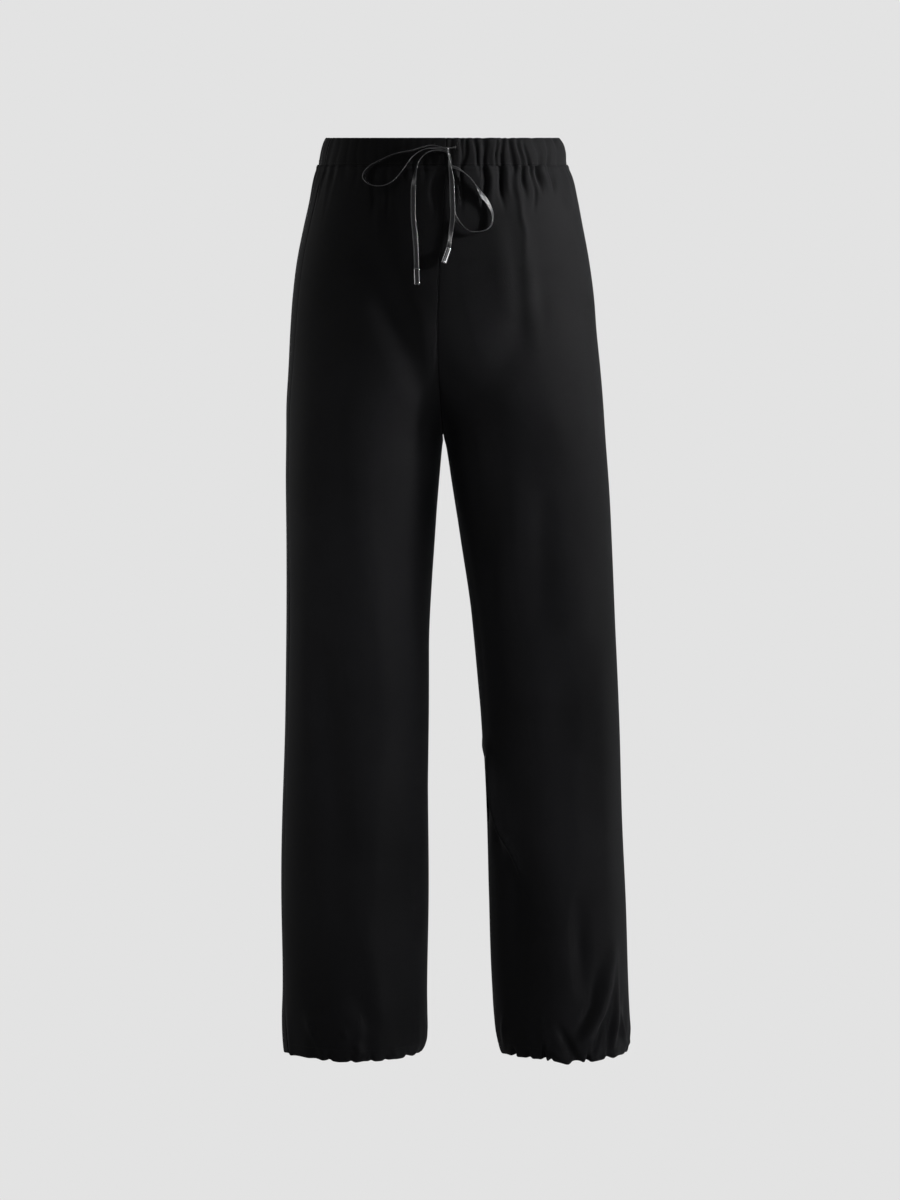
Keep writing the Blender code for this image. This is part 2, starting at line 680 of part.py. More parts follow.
def metal_tip(name, end, along, collection):
    """A round metal tip, in line with the end of its cord."""
    builder = bmesh.new()
    bmesh.ops.create_cone(
        builder,
        cap_ends=True,
        segments=TIP_SIDES,
        radius1=TIP_RADIUS * MILLIMETRE,
        radius2=TIP_RADIUS * MILLIMETRE,
        depth=TIP_LENGTH * MILLIMETRE,
    )
    made = object_from(builder, name, "tip_metal", collection)
    made.location = (end + along * (SEAM_GAP + TIP_LENGTH / 2)) * MILLIMETRE
    made.rotation_mode = "QUATERNION"
    made.rotation_quaternion = along.to_track_quat("Z", "Y")
    edge = made.modifiers.new("edge", "BEVEL")
    edge.width = TIP_EDGE * MILLIMETRE
    edge.segments = 2
    return made


def clear_objects():
    """Removes the scene's objects."""
    for old in list(bpy.data.objects):
        bpy.data.objects.remove(old, do_unlink=True)


def make_trousers():
    """Builds every piece of the trousers."""
    clear_objects()
    collection = bpy.data.collections.new("drawstring_trousers")
    bpy.context.scene.collection.children.link(collection)
    for finish in FINISHES:
        material_for(finish)
    leg_panel("front_right", RIGHT, FRONT, collection)
    leg_panel("front_left", LEFT, FRONT, collection)
    leg_panel("back_right", RIGHT, BACK, collection)
    leg_panel("back_left", LEFT, BACK, collection)
    front_band("waistband_front_right", RIGHT, collection)
    front_band("waistband_front_left", LEFT, collection)
    back_band("waistband_back", collection)
    end, along = flat_cord("drawstring_right", RIGHT_END_ROUTE, collection)
    metal_tip("tip_right", end, along, collection)
    end, along = flat_cord("drawstring_left", LEFT_END_ROUTE, collection)
    metal_tip("tip_left", end, along, collection)


make_trousers()
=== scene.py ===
"""The look of the black drawstring trousers, in the frame of their solid model.

Sizes here are in millimetres, and vertices are written in metres. +Z is up, the front looks
towards -Y and the wearer's left is +X. Drop is measured down from the waist edge at the side.
"""

import json
import math

import bpy
import numpy as np
from mathutils import Quaternion, Vector
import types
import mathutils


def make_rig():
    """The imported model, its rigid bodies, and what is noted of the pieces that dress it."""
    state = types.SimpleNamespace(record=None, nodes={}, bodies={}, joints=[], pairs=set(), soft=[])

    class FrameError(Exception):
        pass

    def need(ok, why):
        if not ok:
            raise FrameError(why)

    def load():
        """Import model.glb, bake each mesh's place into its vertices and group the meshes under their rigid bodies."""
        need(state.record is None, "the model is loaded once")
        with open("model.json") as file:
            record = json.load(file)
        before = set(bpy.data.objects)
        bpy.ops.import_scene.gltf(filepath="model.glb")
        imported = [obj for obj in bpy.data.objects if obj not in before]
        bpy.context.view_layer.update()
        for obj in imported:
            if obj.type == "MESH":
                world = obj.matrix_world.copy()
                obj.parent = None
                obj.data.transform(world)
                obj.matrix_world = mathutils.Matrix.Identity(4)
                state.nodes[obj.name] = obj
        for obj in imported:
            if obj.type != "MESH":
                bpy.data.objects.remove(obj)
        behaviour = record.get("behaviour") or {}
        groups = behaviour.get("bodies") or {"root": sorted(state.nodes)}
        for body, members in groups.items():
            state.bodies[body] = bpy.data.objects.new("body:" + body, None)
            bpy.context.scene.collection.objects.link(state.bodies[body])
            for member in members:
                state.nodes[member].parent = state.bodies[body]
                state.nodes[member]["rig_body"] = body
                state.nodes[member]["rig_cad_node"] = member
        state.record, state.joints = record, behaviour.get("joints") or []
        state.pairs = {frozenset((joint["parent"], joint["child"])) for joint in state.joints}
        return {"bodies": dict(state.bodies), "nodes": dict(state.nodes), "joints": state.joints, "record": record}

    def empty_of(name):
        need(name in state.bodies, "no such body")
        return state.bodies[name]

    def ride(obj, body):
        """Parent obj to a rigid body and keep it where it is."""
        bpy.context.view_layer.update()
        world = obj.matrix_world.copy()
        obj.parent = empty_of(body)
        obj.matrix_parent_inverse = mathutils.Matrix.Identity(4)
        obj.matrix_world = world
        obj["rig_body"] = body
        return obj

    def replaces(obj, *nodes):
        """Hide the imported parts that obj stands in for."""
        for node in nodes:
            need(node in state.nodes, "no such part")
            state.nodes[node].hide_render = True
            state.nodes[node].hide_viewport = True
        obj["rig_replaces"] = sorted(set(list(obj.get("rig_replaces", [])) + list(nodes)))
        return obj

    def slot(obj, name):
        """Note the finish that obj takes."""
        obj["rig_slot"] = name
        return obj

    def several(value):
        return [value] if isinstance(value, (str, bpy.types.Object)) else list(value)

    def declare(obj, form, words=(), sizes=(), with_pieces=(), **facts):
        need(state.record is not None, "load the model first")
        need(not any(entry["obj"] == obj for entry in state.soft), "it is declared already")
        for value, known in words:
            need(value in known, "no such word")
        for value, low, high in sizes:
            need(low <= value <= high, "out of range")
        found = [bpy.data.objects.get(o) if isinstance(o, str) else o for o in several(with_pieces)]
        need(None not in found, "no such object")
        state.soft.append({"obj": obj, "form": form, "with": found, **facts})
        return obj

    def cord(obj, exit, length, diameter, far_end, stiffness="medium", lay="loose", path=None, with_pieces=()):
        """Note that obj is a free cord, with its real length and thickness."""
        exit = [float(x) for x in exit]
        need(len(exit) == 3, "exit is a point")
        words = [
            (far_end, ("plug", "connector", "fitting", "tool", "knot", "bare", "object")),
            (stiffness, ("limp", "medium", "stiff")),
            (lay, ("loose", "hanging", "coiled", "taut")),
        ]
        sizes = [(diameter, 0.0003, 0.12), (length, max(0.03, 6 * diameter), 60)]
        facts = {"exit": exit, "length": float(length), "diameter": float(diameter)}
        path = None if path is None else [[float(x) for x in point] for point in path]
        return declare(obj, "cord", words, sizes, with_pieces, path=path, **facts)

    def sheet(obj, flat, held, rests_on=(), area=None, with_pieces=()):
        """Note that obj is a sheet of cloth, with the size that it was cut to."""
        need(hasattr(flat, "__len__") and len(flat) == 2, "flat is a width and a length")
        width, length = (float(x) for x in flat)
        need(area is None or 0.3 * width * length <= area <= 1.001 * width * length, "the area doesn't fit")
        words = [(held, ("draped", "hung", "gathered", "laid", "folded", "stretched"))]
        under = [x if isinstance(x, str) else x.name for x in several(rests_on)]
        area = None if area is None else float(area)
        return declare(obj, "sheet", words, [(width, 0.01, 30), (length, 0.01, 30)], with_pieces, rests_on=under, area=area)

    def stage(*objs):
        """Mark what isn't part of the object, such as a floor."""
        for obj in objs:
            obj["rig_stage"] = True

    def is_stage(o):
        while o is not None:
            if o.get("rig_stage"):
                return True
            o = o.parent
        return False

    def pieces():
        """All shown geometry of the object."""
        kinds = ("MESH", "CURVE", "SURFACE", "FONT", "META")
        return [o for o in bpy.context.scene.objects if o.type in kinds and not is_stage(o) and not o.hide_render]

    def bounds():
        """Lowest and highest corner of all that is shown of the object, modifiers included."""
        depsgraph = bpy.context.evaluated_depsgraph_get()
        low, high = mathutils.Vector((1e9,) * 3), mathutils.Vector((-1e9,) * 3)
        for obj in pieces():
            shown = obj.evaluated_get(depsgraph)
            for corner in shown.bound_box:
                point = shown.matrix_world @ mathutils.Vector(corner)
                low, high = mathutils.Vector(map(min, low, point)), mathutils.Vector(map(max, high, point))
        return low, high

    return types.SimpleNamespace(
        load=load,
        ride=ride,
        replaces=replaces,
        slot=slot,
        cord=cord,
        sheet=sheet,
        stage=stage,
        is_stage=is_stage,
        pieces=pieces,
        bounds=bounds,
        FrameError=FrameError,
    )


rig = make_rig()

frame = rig.load()
CAD_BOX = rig.bounds()

MILLIMETRE = 0.001
LEFT = 1
RIGHT = -1
FRONT = 1
BACK = -1

SIDES = (("right", RIGHT), ("left", LEFT))

# Each leg panel: side, face, flat width in metres and area of cloth in square metres
PANEL_LENGTH = 1.03
PANEL_ROWS = (
    ("front_right", RIGHT, FRONT, 0.27, 0.235),
    ("front_left", LEFT, FRONT, 0.31, 0.275),
    ("back_right", RIGHT, BACK, 0.34, 0.30),
    ("back_left", LEFT, BACK, 0.29, 0.26),
)

# Camera: the photograph is level with mid-thigh, and shows the front squarely
CAMERA_PLACE = (0.005, -4.0, -0.5144)
CAMERA_LENS = 104.71

# Backdrop and floor, as one even pale tone
PALE_TONE = 0.7681
BACKDROP_RADIUS = 14.0
FLOOR_RADIUS = 13.0
FLOOR_HEIGHT = -1.25

# Lights: name, place, what it looks at, size, power, spread, and whether gloss shows it
LIGHT_ROWS = (
    ("key_light", (2.5, -0.75, 0.7), (0.17, 0.0, -0.01), (0.45, 0.45), 1.6, 21, True),
    ("front_light", (0.28, -2.0, -0.66), (-0.14, 0.0, -0.57), (1.1, 0.5), 1.38, 31, False),
    ("rim_right_light", (2.8, 1.65, -0.5), (0.1, 0.0, -0.6), (1.1, 2.4), 14.5, 180, True),
    ("rim_left_light", (-2.7, 2.0, 0.3), (-0.1, 0.0, -0.3), (1.1, 1.8), 11.0, 180, True),
    ("low_light", (1.7, -0.9, -1.35), (0.21, 0.0, -1.0), (0.5, 0.5), 0.55, 24, False),
    ("back_light", (-0.9, 4.2, 0.6), (0.0, 0.0, -0.5), (2.4, 2.4), 140.0, 180, False),
)

# The room is dark towards the front and paler to the sides
WORLD_TONE = 0.17
WORLD_DARK = 0.02
WORLD_RISE = (-0.93, -0.45)

# Reflecting cards at both sides, which light gloss alone: name, place and power
CARD_ROWS = (
    ("left_card", (-2.4, -1.35, 0.3), 12.5),
    ("right_card", (2.4, -1.35, -0.6), 12.0),
)
CARD_AIM = (0.0, -0.1, -0.1)
CARD_SIZE = (0.9, 3.2)

# Cloth and seams
CLOTH_WALL = 1.2
HEM_WALL = 2.3
BAND_WALL = 2.4
SEAM_GAP = 0.3
BAND_HEIGHT = 31.0
WAIST_TOP = BAND_HEIGHT / 2
CROTCH_DROP = 342.7
HEM_DROP = 1047.0
HEM_CASING = 13.0
CASING_DROP = HEM_DROP - HEM_CASING

# The waist edge dips to the front and rises to the back, as a share of the depth
FRONT_TILT = 0.1325
BACK_TILT = 0.08
TILT_FULL_DROP = 40.0
TILT_END_DROP = 300.0

# Drop, and x of the middle of the seat, which swings a little to the wearer's right
MIDDLE_AT_CROTCH = -2.9
MIDDLE_ROWS = (
    (0, 0.6), (31, 0.2), (90, -2.8), (155, -7), (235, -9), (295, -6.4), (CROTCH_DROP, MIDDLE_AT_CROTCH),
)

# How the seat parts into two legs, and where the side seams lie round them
CLEFT_START_DROP = 120.0
CLEFT_POWER = 4
GAP_SPREAD_DROP = 440.0
GAP_POWER = 4
SIDE_SEAM_TURN = {RIGHT: math.radians(18), LEFT: math.radians(-8)}

# Drop, outer edge on the right and left, and depth in front of and behind the side line
GIRTH_ROWS = (
    (0, -136.8, 129.6, 106, 101), (6, -139.2, 133.6, 107, 102), (16, -141.9, 136.6, 108, 104),
    (31, -145, 138.2, 109, 107), (45, -149.6, 144.2, 110.5, 111), (72, -156, 151.5, 111.5, 117),
    (99, -162.3, 156.7, 112, 122), (140, -170.3, 164.1, 112, 128), (182, -175.2, 169.7, 111.5, 131),
    (223, -178, 172.9, 110, 129.5), (264, -179.8, 177.2, 107.5, 125), (305, -181.9, 180.8, 104.5, 118),
    (343, -182.1, 183.3, 101.5, 111), (392, -183, 186.5, 98.5, 105), (468, -183.2, 189.8, 94.5, 98),
    (569, -183.2, 194.5, 90, 91.5), (670, -184.3, 198.8, 87.5, 88.5), (771, -186.8, 202.1, 86, 88),
    (871, -187.9, 206.8, 85, 86.5), (972, -187.2, 209.8, 84.5, 85), (1006, -187.4, 211.4, 84.5, 84.5),
    (1023, -186.5, 212, 84, 84), (1036, -185.4, 210.5, 82.8, 82.8), (1043, -184.6, 208.9, 81.3, 81.3),
    (1047, -184, 206.5, 79.5, 79.5),
)

# Drop, and inner edge of the right and left leg, from the crotch down
INSEAM_ROWS = (
    (342.7, -2.9, -2.9), (350, -4, -0.6), (367, -5.7, 2.6), (392, -7.7, 6.5), (468, -12.9, 18.2),
    (518, -16.3, 25.6), (569, -19.2, 31.8), (620, -19.8, 37.2), (670, -19.9, 41.6), (771, -19.8, 46.8),
    (871, -19.7, 50.4), (972, -21.5, 53.8), (1006, -21.9, 55.6), (1023, -22.1, 57.3), (1036, -23.6, 60.2),
    (1043, -26.6, 62.3), (1047, -29.6, 64.2),
)

# Gathers: how many there are, how high they stand, and the shape of the wave that they follow
WAIST_GATHERS = 12
HEM_GATHERS = 9
BAND_GATHER_HEIGHT = 0.8
BAND_PUFF = 0.5
WAIST_GATHER_HEIGHT = 1.7
HEM_GATHER_HEIGHT = 1.9
HEM_NOTCH_SHARE = 0.7
HEM_NOTCH_LIMIT = 3.0
GATHER_SHARPNESS = 1.6
GATHER_MEAN_HEIGHT = 0.68
GATHER_UNEVEN_HEIGHT = 0.32
GATHER_UNEVEN_RATE = 2.4

# Where the front hems hang lower: middle, half width and depth of each sag
HEM_SAGS = {LEFT: (145.0, 30.0, 4.5), RIGHT: (-84.0, 42.0, 2.5)}
HEM_SAG_START = 960.0

# How the gathers of each panel drift: shares of three waves across it, and where the swell starts
DRIFT_WAVES = (3, 5, 8)
DRIFTS = {
    (LEFT, FRONT): (0.26, -0.13, 0.05, 0.4),
    (RIGHT, FRONT): (-0.22, 0.12, 0.06, 2.1),
    (LEFT, BACK): (0.18, 0.14, -0.05, 3.3),
    (RIGHT, BACK): (-0.25, -0.10, 0.06, 5.0),
}

# Reach of each gather from its seam: waves of (share, rate, shift), and the shortest and longest
REACH_WAVES = ((0.28, 2.9, 1.0), (0.22, 5.3, 2.0))
WAIST_GATHER_END = (62.0, 124.0)
HEM_GATHER_START = (948.0, 1012.0)

# Gathers on the front are strong near the side seam and weak further in
WAIST_SIDE_REACH = 0.16
BAND_SIDE_REACH = 0.10
HEM_FRONT_SHARE = 0.30
HEM_SIDE_SHARE = 0.50
BAND_GATHER_LEAN = 0.012
BAND_INSIDE_SHARE = 0.85
FRONT_LEG_PUFF = 0.45
FRONT_BAND_PUFF = 0.35
SEAM_RIDGE = (0.7, 3.0, 2.2)

# Largest folds: x and drop of the top, x and drop of the foot, width, and height outwards
FOLDS = {}
FOLDS[LEFT, FRONT] = (
    (83, 71, 102, 250, 11, 2.2), (60, 92, 74, 215, 16, 1.6), (120, 150, 30, 330, 24, -2.4),
    (78, 385, 66, 570, 18, 3.6), (140, 470, 142, 610, 24, 3.6), (44, 700, 88, 862, 10, 3),
    (72, 790, 76, 985, 18, -5.6), (176, 560, 186, 1000, 16, 2.8), (120, 800, 132, 1010, 24, 3.2),
    (112, 400, 106, 570, 15, -2), (132, 590, 140, 700, 24, -2.2), (26, 420, 62, 760, 20, -2.4),
    (104, 560, 112, 860, 22, 2.6),
)
FOLDS[RIGHT, FRONT] = (
    (-90, 115, -24, 310, 22, -4.5), (-28, 190, -11, 305, 12, 0.8), (-152, 470, -112, 900, 18, -4.6),
    (-92, 370, -42, 770, 28, 4.6), (-120, 820, -70, 1000, 22, 3),
)
FOLDS[LEFT, BACK] = (
    (96, 170, 26, 335, 24, -4.2), (54, 360, 130, 500, 22, -4.8), (168, 575, 84, 665, 20, -4.6),
    (118, 690, 136, 1000, 26, 4.6), (84, 740, 92, 980, 18, -3.8),
)
FOLDS[RIGHT, BACK] = (
    (-98, 150, -30, 330, 24, -4.6), (-60, 350, -128, 520, 24, -4.4), (-140, 560, -52, 640, 20, -4.2),
    (-90, 660, -110, 990, 26, 4.4), (-48, 760, -60, 960, 18, -3.6),
)
FOLD_SEAM_SHARE = 0.10
FOLD_SHARE = 1.6
RIPPLE_HEIGHT = 0.55
RIPPLE_GROWTH = (200, 420)
FOLD_END_POWER = 0.8

# Factor of the heights of the waistband's creases, by side
BAND_CREASE_SHARE = {LEFT: 2.2, RIGHT: 0.45}

# Sway of the waist gathers from side to side: height, lengths of its waves down and across
SWAY_WAVES = ((0.9, 6.5, 13.0), (0.54, 11.0, -7.5))
SWAY_END = (90, 150)

# Creases of the waistband: width, then places along it as (x, drop, height)
BAND_CREASES = {}
BAND_CREASES[LEFT] = (
    (1.8, (7.4, 0, -0.5), (5.2, 31, -0.4)), (2, (17.4, 0, -0.7), (17.4, 31, -0.8)),
    (2, (23.5, 0, -0.7), (22, 14, -0.9), (19.6, 31, -0.6)),
    (2.2, (32.5, 0, -0.8), (33.6, 14, -1), (36.4, 31, -1.2)), (3.2, (42.5, 0, -1), (43.7, 31, -1.5)),
    (2.8, (49.5, 0, 0.2), (50.5, 31, -0.3)), (1.6, (56, 0, -0.3), (56.6, 18, -0.8), (57.4, 31, -0.4)),
    (2.2, (62.7, 0, -0.9), (63.3, 31, -1.4)), (3, (70.6, 0, -1), (74, 16, -1.5), (75.1, 31, -1.7)),
    (2, (80.2, 0, -0.5), (83.6, 17, -1), (85.4, 31, -0.9)),
    (2, (88.2, 5, -0.4), (90.5, 17, -1.1), (93.4, 31, -1.3)),
    (3, (98.5, 0, -0.6), (104.8, 18, -1), (107.1, 31, -1.2)),
    (2.2, (112.5, 2, -0.3), (114.1, 12, -0.8), (116.8, 31, -1.4)),
    (1.8, (122.5, 2, -0.8), (125.4, 14, -0.4), (127, 31, -0.6)),
)
BAND_CREASES[RIGHT] = (
    (1.8, (-5, 0, -0.4), (-4, 16, -0.5), (-7, 31, -1.6)),
    (2.6, (-19, 16, 0), (-14, 18.5, 0.7), (-8.5, 20.5, 1.2), (-6, 22, 0)),
    (2.2, (-15, 0, -0.5), (-15, 31, -0.8)), (2.2, (-24, 0, -0.6), (-25, 31, -0.8)),
    (2, (-34, 0, -0.5), (-36, 31, -0.8)), (2.2, (-44, 0, -0.7), (-46, 31, -0.9)),
    (2, (-54, 0, -0.5), (-55, 31, -0.7)), (2.2, (-63, 0, -0.8), (-65, 31, -1)),
    (2, (-74, 0, -0.6), (-77, 31, -0.9)), (2.2, (-86, 0, -0.6), (-89, 31, -0.8)),
    (2, (-97, 0, -0.8), (-100, 31, -1)), (2.2, (-108, 0, -0.7), (-112, 31, -0.8)),
    (2, (-119, 0, -0.6), (-124, 31, -0.8)), (2, (-127, 0, -0.5), (-133, 31, -0.7)),
)

# Further height of the creases near the waist and low on the legs
WAIST_CREASE_BOOST = {LEFT: 0.9, RIGHT: 0.2}
LOW_CREASE_BOOST = {LEFT: 1.3, RIGHT: 0.8}
WAIST_BOOST_END = (80, 180)
LOW_BOOST_START = (640, 760)

# Creases of the leg panels, in the same form
LEG_CREASES = {}
LEG_CREASES[LEFT, FRONT] = (
    (2.4, (17.4, 28, -0.9), (18, 55, -1), (18, 90, 0)), (2.2, (37.5, 28, -1), (39.7, 50, 0)),
    (2.6, (43.7, 28, -2), (43.2, 63, -1.9), (39.7, 92, 0)), (2, (50.5, 28, -0.4), (51, 45, 0)),
    (2.6, (60.5, 28, -1.7), (61.6, 51, -2.1), (64.3, 86, 0)), (2.2, (75.1, 28, -1.7), (76.4, 45, 0)),
    (2.4, (84.7, 28, -1.6), (87.5, 48, -2), (90.6, 74, 0)),
    (2.2, (93.8, 28, -1.2), (97.2, 42, -1.6), (99.5, 58, -1.2), (101, 92, 0)),
    (2.4, (101.8, 28, -1.4), (104.6, 44, -1.9), (108.3, 68, 0)),
    (2.4, (116.1, 28, -1.3), (121.3, 48, -1.6), (124, 68, 0)), (2.6, (127, 28, -0.8), (134, 50, 0)),
    (3.2, (10.7, 38, 0), (13.8, 57, 0.9), (11.3, 80, 0)),
    (3.8, (49.8, 28, 0.9), (50.9, 60, 0.8), (52, 92, 0)),
    (2.8, (67.2, 28, 0.9), (70.6, 53, 0.9), (73.6, 74, 0)),
    (3.4, (79, 28, 0.8), (81.3, 58, 1), (85.7, 88, 0.9), (88.4, 114, 0.6), (90, 170, 0)),
    (2.4, (96, 34, 0), (98.5, 50, 0.8), (101.5, 66, 0)),
    (3, (107.5, 28, 0.4), (112.1, 46, 1.1), (118.5, 68, 0)),
    (5, (133, 40, 0), (139, 66, 1.6), (143, 92, 0)), (12, (14, 301, 0), (23.5, 358, -2.4), (38, 455, 0)),
    (3.2, (44, 684, 0), (46.5, 700, 1.6), (52, 724, 2.6), (58, 762, 2.8), (64, 792, 2.4), (76, 818, 1.6),
     (86, 848, 0)),
    (5.5, (39, 690, 0), (45, 730, -1.8), (50, 770, -2.2), (56, 806, -2), (62, 836, 0)),
    (9, (148, 850, 0), (151, 920, -2.2), (155, 990, 0)),
    (7, (190, 905, 0), (182.5, 944, 2.4), (178.8, 966, 3.2), (171.5, 996, 3.4), (160.4, 1014.6, 2.6),
     (149, 1024, 0.6)),
    (3.2, (192, 915, 0), (191.4, 1008, 2.2), (188.4, 1034, 0.8)),
    (3, (194.5, 980, 0), (199.6, 1017, 2), (208, 1036, 1)),
    (3.2, (202.3, 968, 0), (206.9, 1022, -2), (208, 1040, -0.6)),
    (4.6, (170, 930, 0), (164, 985, -1.4), (152, 1008, -1), (143, 1018, 0)),
    (3.6, (182, 985, 0), (174, 1012, -1.4), (166, 1036, -1)),
    (3, (187, 985, 0), (185.5, 1020, -1.5), (184, 1046, -1.2)),
    (5.5, (122, 1000, 0), (136, 1024, -2.2), (148, 1047, -1.8)),
    (4, (116, 1032, 0), (126, 1039, 1.4), (138, 1045, 1.2)),
    (2.6, (66, 995, 0), (66, 1018, 1.1), (67, 1040, 0.4)), (2, (76, 1030, 0), (77.3, 1047, -1.8)),
    (2.2, (109, 1022, 0), (110.6, 1047, -2.2)), (2.2, (116, 1036, 0), (118, 1047, -1.2)),
    (2.4, (161, 1024, 0), (160.2, 1047, -1.9)), (2.6, (92, 1028, 0), (94, 1047, -0.9)),
)
LEG_CREASES[RIGHT, FRONT] = (
    (3, (-9.3, 30, -0.6), (-13.8, 58, -1.2), (-13.8, 96, 0)), (2.8, (-24, 28, -0.7), (-24, 60, 0)),
    (2.8, (-36, 28, -0.8), (-37, 62, 0)), (2.6, (-46, 28, -0.8), (-48, 56, 0)),
    (3.2, (-65, 28, -0.7), (-64.5, 72, -1.3), (-64.4, 104, 0)), (2.6, (-55, 28, -0.6), (-56, 50, 0)),
    (3.2, (-77, 28, -0.7), (-81.4, 62, -1.5), (-81.5, 100, 0)),
    (4.4, (-73, 30, 0), (-75, 70, 0.9), (-74.2, 140, 0)), (2.8, (-89, 28, -0.7), (-92, 66, 0)),
    (2.8, (-100, 28, -0.9), (-104, 72, 0)), (2.8, (-112, 28, -0.7), (-117, 58, 0)),
    (2.8, (-124, 28, -0.7), (-130, 62, 0)), (2.8, (-133, 28, -0.6), (-140, 56, 0)),
    (14, (-149, 730, 0), (-134, 822, -0.8), (-122, 872, -1.2), (-97, 933, -1.2), (-92, 1002, 0)),
    (12, (-112, 955, 0), (-92, 992, -1.8), (-68, 1022, 0)),
    (5, (-160, 990, 0), (-152, 1012, 1.6), (-140, 1038, 0.6)),
    (4, (-117, 1004, 0), (-113, 1016, 0.9), (-109, 1026, 0)),
    (4, (-103, 1022, 0), (-98, 1032, 1.2), (-94, 1042, 0.4)),
    (4, (-62, 1028, 0), (-57, 1038, 1.1), (-54, 1044, 0.4)),
    (4, (-38, 785, 0), (-32, 860, -1.1), (-27, 950, 0)), (4, (-27, 880, 0), (-27, 903, 0.8), (-27, 928, 0)),
    (2.6, (-132, 1030, 0), (-131, 1047, -0.9)), (2.8, (-106, 1034, 0), (-106, 1047, -0.9)),
    (2.6, (-84, 1032, 0), (-83, 1047, -0.8)), (2.4, (-68, 1036, 0), (-67, 1047, -0.7)),
    (2.6, (-44, 1030, 0), (-43, 1047, -0.8)),
)
LEG_CREASES[LEFT, BACK] = (
    (9, (150, 870, 0), (146, 940, -1.8), (150, 1010, 0)), (4, (60, 700, 0), (72, 760, 1.4), (90, 850, 0)),
    (8, (60, 190, 0), (52, 260, 1.2), (20, 320, 0)),
)
LEG_CREASES[RIGHT, BACK] = (
    (9, (-140, 850, 0), (-134, 930, -1.8), (-138, 1005, 0)),
    (4, (-40, 690, 0), (-52, 760, 1.4), (-76, 845, 0)), (8, (-66, 185, 0), (-56, 255, 1.2), (-24, 315, 0)),
)

# The drawstring is a flat cord. Each row of a route is x and z of a place on the front, how far
# the cord's middle lies off the puffed cloth, how far its face is turned edge-on, and its width.
CORD_WIDTH = 5.5
CORD_THICKNESS = 1.0
CLOTH_PUFF = 0.6
CORD_STEPS = 8
CORD_SIDES = 16
CORD_SMOOTHING = 11
# Share of the cord's width beyond which its rolled edges take a lighter colour, which is a painted highlight
CORD_HIGHLIGHT_SHARE = 0.36
PATH_STEP = 3
RIGHT_END_ROUTE = (
    (-12.4, -10.2, -0.6, 0, 1.6), (-9, -10.6, 0.9, 30, 1.8), (-4.9, -11.6, 0.9, 20, 2.4),
    (1, -13.8, 0.9, 0, 2.2), (4.2, -21.1, 1, 0, 2.4), (6.6, -30.6, 1.7, 0, 2.8),
    (13.5, -33.8, 3.2, 45, 3.6), (20.7, -38.5, 5, 85, 5), (28, -45.1, 5.3, 90, 5.5),
    (35.2, -54.5, 5.2, 84, 5.5), (40.2, -62.9, 4.4, 38, 7), (45, -68.8, 4, 38, 6.4),
    (49.8, -77.1, 4, 41, 5.2), (52.2, -83.2, 4.4, 54, 4.4), (52.5, -90.5, 5, 72, 4.4),
    (51, -96.5, 5.1, 80, 5.5), (46.2, -101.5, 5.1, 90, 5.5), (37.7, -104.1, 5, 90, 5.5),
    (26.9, -104.1, 4.8, 90, 5.5), (20.7, -100.1, 4.6, 80, 5.5), (15.4, -94.7, 4, 60, 5),
    (10.8, -88, 2.8, 20, 4.6), (7.4, -77.8, 2.4, 0, 4.4), (6.2, -57.8, 2.4, 0, 4), (6, -40, 2.9, 0, 3),
    (6, -27, 3.3, 0, 2.2), (5, -20, 3.5, -30, 2), (2.2, -15.6, 3.5, -40, 2), (-4, -13.7, 3.5, -50, 2),
    (-9.3, -13.3, 3.5, -70, 2.2), (-16.7, -14.2, 3.6, -84, 2.4), (-22.7, -17.5, 4, -88, 3.4),
    (-28.7, -23.9, 4.6, -86, 4.6), (-32.3, -32.8, 5.2, -76, 5.5), (-34, -41.3, 5, -52, 5.5),
    (-35.6, -50.9, 3.9, -26, 5.5), (-36, -63, 3.2, 0, 5.5), (-35.9, -87.2, 2.6, 0, 5.5),
    (-34.4, -105, 2.6, 0, 5.5), (-33, -123.5, 3, 0, 5.5), (-32.2, -145.4, 3.6, 0, 5.5),
)
